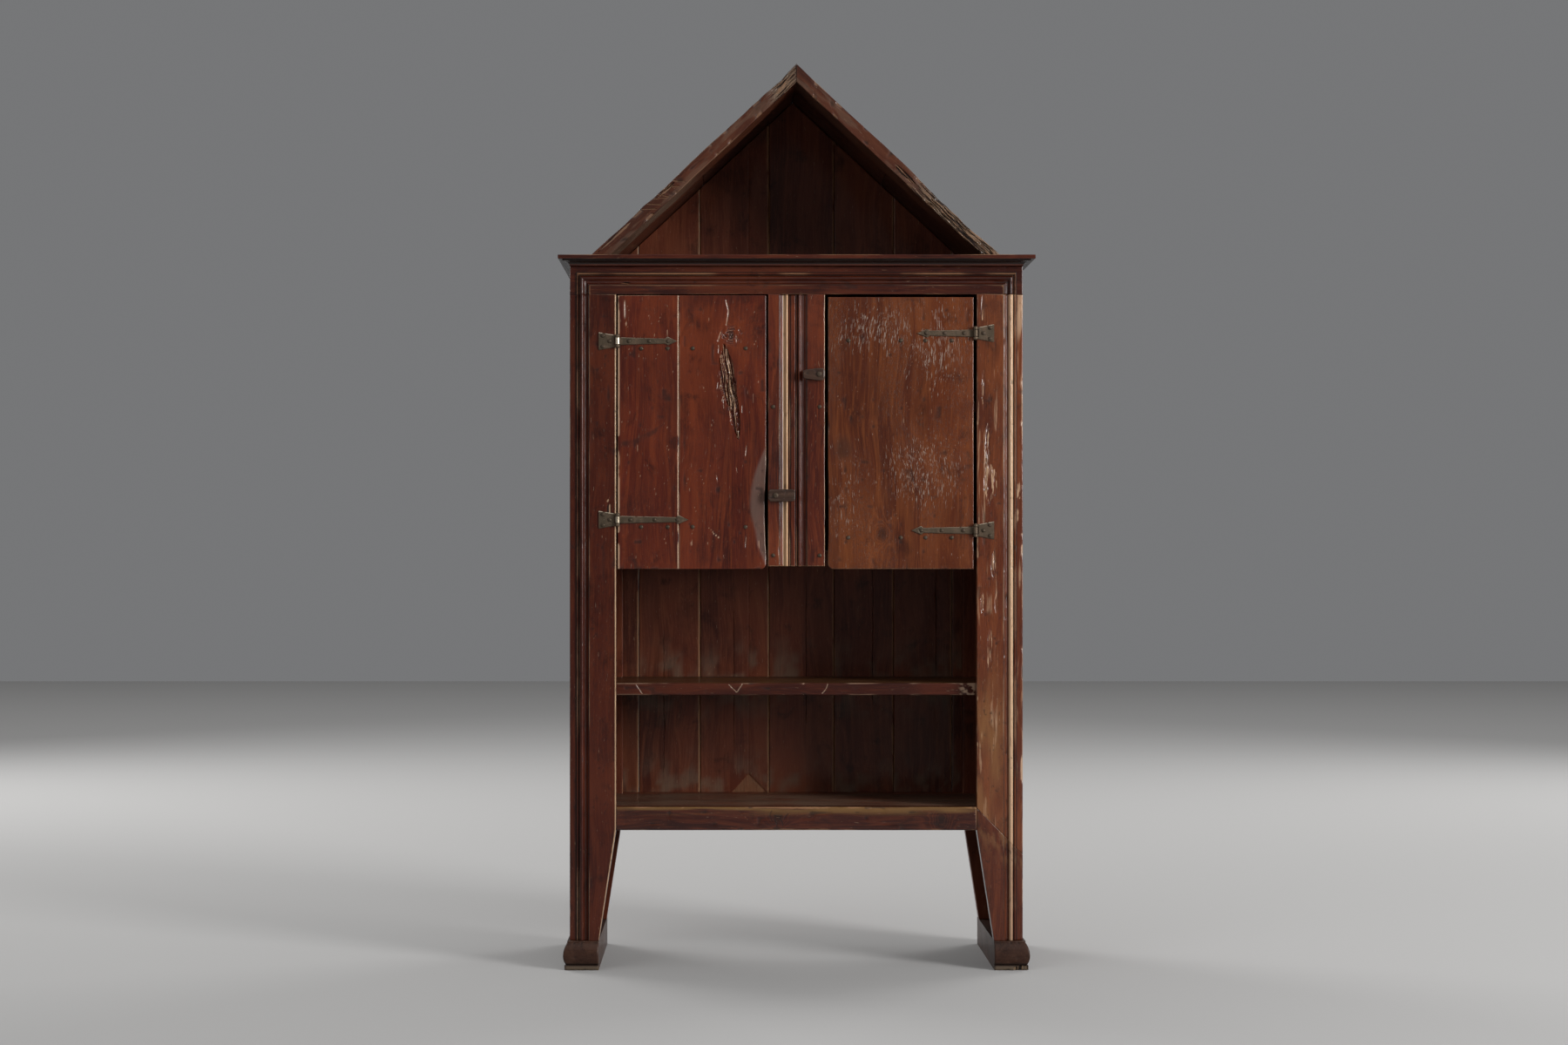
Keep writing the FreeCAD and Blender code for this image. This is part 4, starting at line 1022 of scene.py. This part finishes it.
def swept(name, section, place, steps, material):
    """A closed section swept along a line: place turns (projection, height, share) into points."""
    projection, height = section
    share = np.linspace(0, 1, steps)[:, None]
    knocks = 0.0009 * layered(share * 46 + 3 * len(name), height[None] * 180, 9)
    points = place(projection[None] * (1 - knocks / CORNICE_REACH), height[None] - 0.25 * knocks, share)
    columns = len(projection)
    faces = ring_quads(steps, columns)[:, [0, 3, 2, 1]].tolist()
    faces += [list(range(columns)), [columns * (steps - 1) + j for j in range(columns)][::-1]]
    flat = points.reshape(-1, 3)
    end_normal = np.cross(points[0], np.roll(points[0], -1, 0)).sum(0)
    if end_normal @ (points[-1].mean(0) - points[0].mean(0)) > 0:
        faces = [f[::-1] for f in faces]
    arris = sum(np.exp(-((height - line) / 0.0009)**2) for line in (TOP_ARRIS, DRIP_ARRIS))
    arris = arris * smooth(0.019, 0.023, projection)
    stretch = smooth(0.3, 0.7, layered(share * 14 + len(name), 0 * height[None], 12))
    # The darker band over the cove, up to the fascia, is painted shade: the cornice's shade on its own cove.
    masks = {"pale": 0.7 * np.clip(arris, 0, 1)[None] * stretch,
             "grime": 0 * share + (smooth(1.5165, 1.519, height) * smooth(1.5285, 1.5265, height))[None]}
    mesh_piece(name, flat, faces, masks, material)


turn = np.linspace(0, np.pi / 2, 9)
cove = np.stack([0.015 - 0.015 * np.cos(turn), 1.515 + 0.009 * np.sin(turn)], -1)
edge = 0.0012 * np.stack([np.sin(turn), np.cos(turn)], -1)
fascia = [[0.015, 1.527], [0.0228, 1.527], [CORNICE_REACH, 1.5282], [CORNICE_REACH, 1.532]]
section = np.concatenate([cove, fascia, np.array([0.0228, 1.5348]) + edge[::-1],
                          [[0.012, 1.536], [0.0, 1.536]]]).T
swept("cornice_front", section, lambda p, z, t: np.stack(
    [(HALF_WIDTH + p) * (2 * t - 1), 0 * t + FRONT_Y - p, z + 0 * t], -1), 220, level_wood)
for side, name in ((-1, "cornice_left"), (1, "cornice_right")):
    swept(name, section, lambda p, z, t: np.stack(
        [side * (HALF_WIDTH + p) + 0 * t, BACK_Y - t * (DEPTH + p), z + 0 * t], -1), 90, deep_wood)
print("cornice: three mitred lengths")

# %% Rafters and roof boards
sine, cosine = math.sin(SLOPE), math.cos(SLOPE)


def gable_cut(a, l, n, board, ragged):
    """Ends of a rafter, level at its toe and plumb at the apex, and its edges wandering inwards."""
    share = a / board.width
    outer = layered(l / 0.05, 0 * l, board.thickness * 900 + 3) * np.interp(l / board.length, *ragged)
    inner = layered(l / 0.07, 0 * l, 44) * 0.0016
    depth_fade = smooth(-0.07, -0.02, n)
    a = a + outer * depth_fade * (1 - share) - inner * share
    toe = a / math.tan(SLOPE)
    apex = (GABLE_HALF - a * sine) / cosine
    return a, toe + l / board.length * (apex - toe), n


def rotten(face, low, high, depth):
    """Weathered wood between two places along: fibres stand out of it, pale and dusty."""
    where = smooth(low - 0.03, low + 0.02, face.l) * smooth(high + 0.06, high - 0.04, face.l)
    ridge = layered(face.a / 0.0022 + 1.5 * layered(face.l / 0.03, face.a / 0.01, 88), face.l / 0.035, 89)
    lump = layered(face.a / 0.012, face.l / 0.025, 90)
    face.n -= depth * where * (0.5 * lump + 0.5 * smooth(0.65, 0.35, ridge))
    face.mark("pale", 0.75 * where * smooth(0.35, 0.65, ridge))
    face.mark("film", where * smooth(0.25, 0.5, ridge))
    face.mark("grime", where * smooth(0.42, 0.3, ridge))
    return face


def lower_cut(a, l, n, board):
    """A lower roof board: level at its toe, with a tongue at its top edge that closes the seam."""
    share = l / board.length
    toe = over(-n) / math.tan(SLOPE) * (1 - share)
    tongue = 0.0015 * share**60 * smooth(-0.001, -0.003, n) * smooth(-0.001, -0.003, -n - board.thickness)
    return a, l + toe + tongue, n


ragged_edges = {1: ([0, 0.2, 0.26, 0.3, 0.5, 0.85, 0.92, 1], np.array([2, 3, 0.5, 4, 3, 3, 7, 1]) / 1000),
                -1: ([0, 0.05, 0.2, 0.35, 0.45, 1], np.array([5, 9, 8, 6, 2, 2]) / 1000)}
for side, name, wood in ((1, "left", left_roof_wood), (-1, "right", right_roof_wood)):
    along, into = np.array([side * cosine, 0, sine]), np.array([side * sine, 0, -cosine])
    rafter = Board(name + "_rafter", into, along, -Y)
    face = worked(rafter, 130 + side, 0.0012, 0.0024, 0.0022, 0.9, 0.0018,
                  along=np.arange(0.14, 0.26, 0.0009))
    face.dented(0.0012, 0.3).chipped(0.003, 0.010, 0.36, 0.022)
    weathered = face.patches(0.50, 0.72, 0.012, 0.05, 134 + side, 4)
    face.mark("film", 0.22 * weathered)
    if side == 1:
        rotten(face, 0.535, 0.60, 0.007)
        face.gouged(0.007, 0.215, 0.010, 0.05, 0.004).gouged(0.006, 0.06, 0.008, 0.10, 0.002)
        slashes = [((0.004, l), (0.024, l + lean)) for l, lean in (
            (0.148, 0.012), (0.165, 0.010), (0.183, 0.016), (0.196, 0.006), (0.222, 0.014), (0.241, 0.012))]
        face.scored(slashes, 0.0017, 0.0015, 1.2)
    else:
        rotten(face, -0.02, 0.215, 0.008)
        face.gouged(0.016, 0.27, 0.012, 0.07, 0.003)
    # On the left rafter's underside the lower part is filmed pale: dust, and painted light where light from
    # the right falls on it; the right rafter's gets a little dust.
    dusty = 0.9 * smooth(0.36, 0.2, face.l[:, :1]) if side == 1 else 0.2
    make_board(rafter, face, wood,
               lambda a, l, n: gable_cut(a, l, n, rafter, ragged_edges[side]), 14, 0.4, dusty)
    lower = Board(name + "_roof_lower_board", -side * Y, along, -into)
    upper = Board(name + "_roof_upper_board", -side * Y, along, -into)
    face = worked(lower, 140 + side, 0.009, 0.009, 0.0022, 0.5, 0.0016).dented(0.001, 0.2)
    make_board(lower, face, wood, lambda a, l, n: lower_cut(a, l, n, lower))
    face = worked(upper, 146 + side, 0.009, 0.009, 0.0022, 0.5, 0.0016).dented(0.001, 0.2)
    make_board(upper, face, wood, lambda a, l, n: (
        a, l * (1 - over(-n) * math.tan(SLOPE) / upper.length), n))
print("gable: two rafters and four roof boards")

# %% Sled feet
foot_heights = np.array([0, 9, 10.5, 11.2, 12.5, 14, 18, 24, 31.5, 39, 45, 50, 54, 57.5, 58, 62]) / 1000
foot_insets = np.array([3, 3, 3.6, 6.0, 5.2, 4.2, 2.2, 0.6, 0, 0.8, 2.2, 4.2, 6.0, 7.8, 8.8, 9]) / 1000


def foot_outline(a, l, n, board):
    """Swell of a foot: its inset over height, full at the front and outer side, none opposite."""
    inset = np.interp(l, foot_heights, foot_insets)
    return a + inset * (1 - a / board.width), l, n - inset * (1 + n / board.thickness)


for name, facing in (("left_foot", FRONT), ("right_foot", FRONT_MIRROR)):
    foot = Board(name, *facing)
    face = worked(foot, 150, 0.0025, 0.0018, 0.003, 0.6, 0.0012, along=foot_heights)
    face.dented(0.0014, 0.3, 0.009)
    face.mark("grime", 0.7 * smooth(0.006, 0.001, np.abs(face.l - 0.012)))
    face.mark("film", 0.7 * smooth(0.011, 0.008, face.l))
    # Pale line along the top arris: wear, and a painted highlight where it catches the light.
    edge_wear_and_highlight(face, np.abs(face.l - 0.061), 0.6)
    if name == "right_foot":
        face.gouged(0.010, 0.004, 0.05, 0.016, 0.006)
    make_board(foot, face, foot_wood, lambda a, l, n: foot_outline(a, l, n, foot), 90)
print("feet: two sled feet")

# %% [markdown]
# ## Ironwork
# A smith drew each strap out to a spear, rolled one end round the pin and punched it for nails. The
# leaf is a row of flat rings whose half-width follows the outline; their upper side is domed and
# hammered. Knuckles and nail heads are turned shapes, so rings of radius over height make
# them, all the heads of a group in one broadcast.

# %% Forged leaves and turned shapes
LEAF_THICKNESS = 0.0026
HEAD_SECTORS = 20


def leaf(along, half_width, side, x0, z, seed):
    """Forged leaf: a lens over its outline, 2.6 mm thick, hammered on the face and flat behind."""
    round_about = np.linspace(0, 2 * np.pi, 45)[:-1]
    across = np.sign(np.cos(round_about)) * np.abs(np.cos(round_about))**0.4
    out = np.where(np.sin(round_about) > 0, np.abs(np.sin(round_about))**0.45, 0)
    u, v = along[:, None], across[None]
    width = half_width[:, None] + 0.0006 * (layered(u / 0.012, 0 * v + seed, 4) - 0.5)
    hammer = layered(u / 0.008, v * width / 0.008, seed)
    height = LEAF_THICKNESS * out[None] * (0.82 + 0.18 * hammer)
    points = np.stack([x0 + side * u + 0 * v, FRONT_Y - height, z + v * width], -1)
    faces = ring_quads(len(along), len(across)).tolist()
    last = (len(along) - 1) * len(across)
    faces += [list(range(len(across)))[::-1], [last + j for j in range(len(across))]]
    if side < 0:
        faces = [f[::-1] for f in faces]
    struck = 0.55 * smooth(0.55, 0.9, hammer) * out[None]
    # Painted highlight: a pale line along the upper edge of the leaf, where it catches the light.
    top_rim_highlight = 1.1 * smooth(0.84, 0.96, v) * smooth(0.15, 0.45, hammer)
    return points.reshape(-1, 3), faces, np.ravel(np.maximum(struck, top_rim_highlight))


def turned(radius, height, centres, axis, sectors, wobble=0.0, seed=0, facets=0.0):
    """Turned shapes at many centres: radius over height along an axis, rings of equal sectors."""
    angle = np.linspace(0, 2 * np.pi, sectors, endpoint=False)
    aslant = [0.31, 0.77, 0.55]
    first = np.cross(axis, aslant)
    first = first / np.linalg.norm(first)
    second = np.cross(axis, first)
    number = np.arange(len(centres))[:, None, None]
    bumps = noise(3 * np.cos(angle) + 7 * number, 3 * np.sin(angle) + seed + 0 * number)
    uneven = 1 + wobble * (bumps - 0.5)
    uneven = uneven - facets * np.abs(np.sin(2 * angle + number))
    r = np.asarray(radius)[None, :, None] * uneven
    ring = r[..., None] * (np.cos(angle)[:, None] * first + np.sin(angle)[:, None] * second)
    lift = np.asarray(height)[None, :, None, None] * np.asarray(axis)
    points = np.asarray(centres)[:, None, None] + ring + lift
    rings = len(radius)
    quads = ring_quads(rings, sectors)
    ends = [list(range(sectors))[::-1], list(range((rings - 1) * sectors, rings * sectors))]
    faces = []
    for index in range(len(centres)):
        shift = index * rings * sectors
        faces += (quads + shift).tolist() + [[shift + v for v in end] for end in ends]
    return points.reshape(-1, 3), faces


def joined(*parts):
    """Several closed shells as one: points, faces and pale mask."""
    points, faces, pale = [], [], []
    for part in parts:
        shift = sum(len(block) for block in points)
        points.append(part[0])
        faces += [[v + shift for v in face] for face in part[1]]
        pale.append(part[2] if len(part) > 2 else np.full(len(part[0]), 0.25))
    return np.concatenate(points), faces, np.concatenate(pale)


def iron_piece(name, material, *parts):
    """One piece of ironwork from its closed shells."""
    points, faces, pale = joined(*parts)
    mesh_piece(name, points, faces, {"pale": pale, "grime": 0 * pale}, material)


def knuckle(x, z, height, seed, shine=0.3):
    """A rolled knuckle on the hinge line, its ends slightly rounded."""
    rise = np.array([0, 0.0006, height / 2, height - 0.0006, height])
    points, faces = turned([0.0044, 0.0055, 0.0055, 0.0055, 0.0044], rise - height / 2,
                           [[x, HINGE_Y, z]], Z, sectors=24, wobble=0.05, seed=seed)
    return points, faces, np.full(len(points), shine)


print("smith's shapes ready")

# %% Straps, plates and pins
# Each hinge: side, its sign in x, level, height and length of the strap.
hinges = [("left", -1, "upper", 1.352, 0.128), ("left", -1, "lower", 0.968, 0.152),
          ("right", 1, "upper", 1.369, 0.124), ("right", 1, "lower", 0.945, 0.137)]
for side_name, side, level, z, length in hinges:
    along = np.unique(np.concatenate([np.linspace(0.0, length, 90), length - np.linspace(0, 0.026, 24)]))
    outline = np.array([[0, 7.5], [7.4, 7.5], [7.6, 8], [length * 1e3 - 26, 5.5], [length * 1e3 - 20.3, 9.5],
                        [length * 1e3 - 0.4, 0.5], [length * 1e3, 0.2]]) / 1000
    half_width = np.interp(along, outline[:, 0], outline[:, 1])
    shine = {"upper": 0.72, "lower": 0.6}[level] if side < 0 else 0.35
    iron_piece(f"{side_name}_{level}_strap", strap_iron,
               leaf(along, half_width, -side, side * HINGE_X, z, 200 + len(level) + side),
               knuckle(side * HINGE_X, z, 0.015, 210 + side, shine))

for side_name, side in (("left", -1), ("right", 1)):
    shells = []
    for z in (row[3] for row in hinges if row[0] == side_name):
        along = np.linspace(0.0075, 0.0405, 40)
        half_width = np.interp(along, [0.0075, 0.0405], [0.0133, 0.0195])
        half_width = half_width - 0.0012 * smooth(0.0395, 0.0405, along)
        shells.append(leaf(along, half_width, side, side * HINGE_X, z, 220 + side))
        for rise in (-0.01055, 0.01055):
            shells.append(knuckle(side * HINGE_X, z + rise, 0.0055, 230 + side))
            neck = np.linspace(0.0, 0.009, 6)
            shells.append(leaf(neck, np.full(6, 0.00275), side, side * HINGE_X, z + rise, 5))
    iron_piece(side_name + "_hinge_plates", strap_iron, *shells)

pin_places = [[side * HINGE_X, HINGE_Y, z] for _, side, _, z, _ in hinges]
pin_shape = np.array([[0.5, -14.9], [3.2, -14.7], [4.1, -13.9], [4.2, -13.3], [2.6, -13.2], [2.6, 13.2],
                      [4.2, 13.3], [4.1, 13.9], [3.2, 14.7], [0.5, 14.9]]) / 1000
iron_piece("hinge_pins", strap_iron, turned(pin_shape[:, 0], pin_shape[:, 1], pin_places, Z, 16))
print("hinges: four straps, four plates, four pins")

# %% Nails
head_radius = np.array([3.9, 4.5, 4.3, 3.6, 2.6, 1.4, 0.3]) / 1000
head_height = np.array([-1.0, 0.1, 0.8, 1.45, 1.9, 2.15, 2.2]) / 1000


def heads(name, places):
    """All the domed, slightly four-sided heads of one group of nails."""
    points, faces = turned(head_radius, head_height, places, -Y, HEAD_SECTORS, wobble=0.22, seed=240,
                           facets=0.09)
    pale = np.tile(np.repeat([0, 0.1, 0.15, 0.25, 0.35, 0.4, 0.4], HEAD_SECTORS), len(places))
    iron_piece(name, nail_iron, (points, faces, pale))


def on_door(side, low_x, high_x):
    """Three nails in each strap, and a row of four through the plank into the batten below it."""
    places = []
    for _, _, _, z, length in (row for row in hinges if row[1] == side):
        places += [[side * (HINGE_X - 0.0075 - (length - 0.0075) * share), IRON_Y, z]
                   for share in (0.14, 0.50, 0.84)]
        places += [[side * (low_x - (low_x - high_x) * share), FRONT_Y, z - 0.0155]
                   for share in (0.15, 0.33, 0.50, 0.86)]
    return places


left_nails, right_nails = on_door(-1, DOOR_EDGE, 0.065), on_door(1, DOOR_EDGE, 0.068)
heads("left_door_nails", left_nails)
heads("right_door_nails", right_nails)
plate_nails = [[side * (HINGE_X + 0.0075 + 0.033 * share), IRON_Y, z + 0.039 * rise]
               for _, side, _, z, _ in hinges for share, rise in ((0.30, 0), (0.74, -0.30), (0.74, 0.30))]
post_nails = [[x, FRONT_Y, z] for x in (-0.050, 0.050) for z in (0.891, 1.211)]
heads("frame_nails", plate_nails + post_nails)
print("nails:", len(left_nails + right_nails + plate_nails + post_nails), "heads")

# %% [markdown]
# ## Turn-buttons
# Two whittled blocks on iron nails hold the doors shut. They rest turned away from the doors, as
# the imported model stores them. Each is a short thick board with well-rounded edges; the right one
# is cut to a blunt taper, by `warp`.

# %% Buttons and pivots
def whittled(board, taper):
    """A button's outline: corners rounded, the long end drawn in by the taper."""
    def outline(a, l, n):
        middle = board.width / 2
        corner = quarter_round(0.007, np.minimum(l, board.length - l))
        scale = 1 - corner / middle - taper * np.clip(l / board.length - 0.35, 0, 1)
        return middle + (a - middle) * scale, l, n
    return outline


for name, facing, taper in (("left_turn_button", RAIL, 0.0), ("right_turn_button", MIRROR_RAIL, 0.45)):
    button = Board(name, *facing)
    face = worked(button, 250 + len(name), 0.0012, 0.0012, 0.0028, 0.8, 0.0012)
    face.dented(0.0008, 0.3, 0.006)
    make_board(button, face, button_wood, whittled(button, taper), 8)

pivot_shape = np.array([[3.0, -4.0], [3.0, -0.1], [5.6, 0.0], [6.0, 0.7], [5.4, 1.7], [4.0, 2.5], [2.0, 2.9],
                        [0.3, 3.0]]) / 1000
pivot_places = [[-0.0448, -0.2056, 1.020], [0.0488, -0.2056, 1.280]]
points, faces = turned(pivot_shape[:, 0], pivot_shape[:, 1], pivot_places, -Y, sectors=24, wobble=0.12,
                       seed=260, facets=0.04)
iron_piece("turn_button_pivots", nail_iron, (points, faces, np.full(len(points), 0.3)))
print("buttons: two, with their pivots")

# %% [markdown]
# ## What stays from the model, floor, light and camera
# The bearers under the shelves lie hidden in the corners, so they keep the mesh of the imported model
# and only take the inside wood. The room is a pale floor under a large soft light from the right, a
# weaker one from the left, a wide one overhead, two behind for the back, and a pale sky. The camera
# stands where the photographer stood.

# %% Bearers, floor, lights and camera
for name in ("left_shelf_bearers", "right_shelf_bearers"):
    bearer = nodes[name]
    bearer.data.materials.clear()
    bearer.data.materials.append(inside_deep)

floor_finish = Finish("studio_floor")
floor_finish.shader.inputs["Base Color"].default_value = tone(0.37, 0.365, 0.36)
floor_finish.shader.inputs["Roughness"].default_value = 1.0
floor_finish.shader.inputs["Specular IOR Level"].default_value = 0.0
floor_mesh = bpy.data.meshes.new("floor")
floor_mesh.from_pydata([(-14, -14, 0), (14, -14, 0), (14, 14, 0), (-14, 14, 0)], [], [(0, 1, 2, 3)])
floor_mesh.materials.append(floor_finish.material)
floor = bpy.data.objects.new("floor", floor_mesh)
bpy.context.scene.collection.objects.link(floor)


def area_light(name, place, aim, width, height, power):
    """A soft light as wide and high as a window, which looks at a point."""
    lamp = bpy.data.lights.new(name, "AREA")
    lamp.shape, lamp.size, lamp.size_y, lamp.energy = "RECTANGLE", width, height, power
    made = bpy.data.objects.new(name, lamp)
    made.location = place
    direction = np.array(place) - np.array(aim)
    made.rotation_euler = (math.acos(direction[2] / np.linalg.norm(direction)), 0,
                           math.atan2(direction[1], direction[0]) + math.pi / 2)
    bpy.context.scene.collection.objects.link(made)
    return made


lights = [area_light("key", (5.8, -4.8, 2.5), (0, 0, 1.1), 2.2, 3.2, 600),
          area_light("fill", (-5.0, -6.0, 3.6), (0, 0, 1.0), 3.4, 3.4, 70),
          area_light("top", (0.0, 0.001, 8.5), (0, 0, 0.0), 26.0, 26.0, 1200),
          area_light("back_left", (-4.6, 4.4, 3.6), (0, 0, 1.0), 3.0, 3.0, 230),
          area_light("back_right", (4.6, 4.4, 3.6), (0, 0, 1.0), 3.0, 3.0, 180)]
world = bpy.data.worlds.new("studio")
world.use_nodes = True
world.node_tree.nodes["Background"].inputs["Color"].default_value = tone(0.82, 0.83, 0.85)
world.node_tree.nodes["Background"].inputs["Strength"].default_value = 0.22
bpy.context.scene.world = world

camera_data = bpy.data.cameras.new("camera")
camera_data.lens, camera_data.sensor_width = 61.4, 36.0
camera_data.shift_x, camera_data.shift_y = 0.0333, 0.0267
camera = bpy.data.objects.new("camera", camera_data)
camera.location = (-0.139, -5.938, 0.872)
camera.rotation_euler = (math.pi / 2, 0, 0)
bpy.context.scene.collection.objects.link(camera)
bpy.context.scene.camera = camera
bpy.context.scene.view_settings.view_transform = "Standard"
print("stage set")
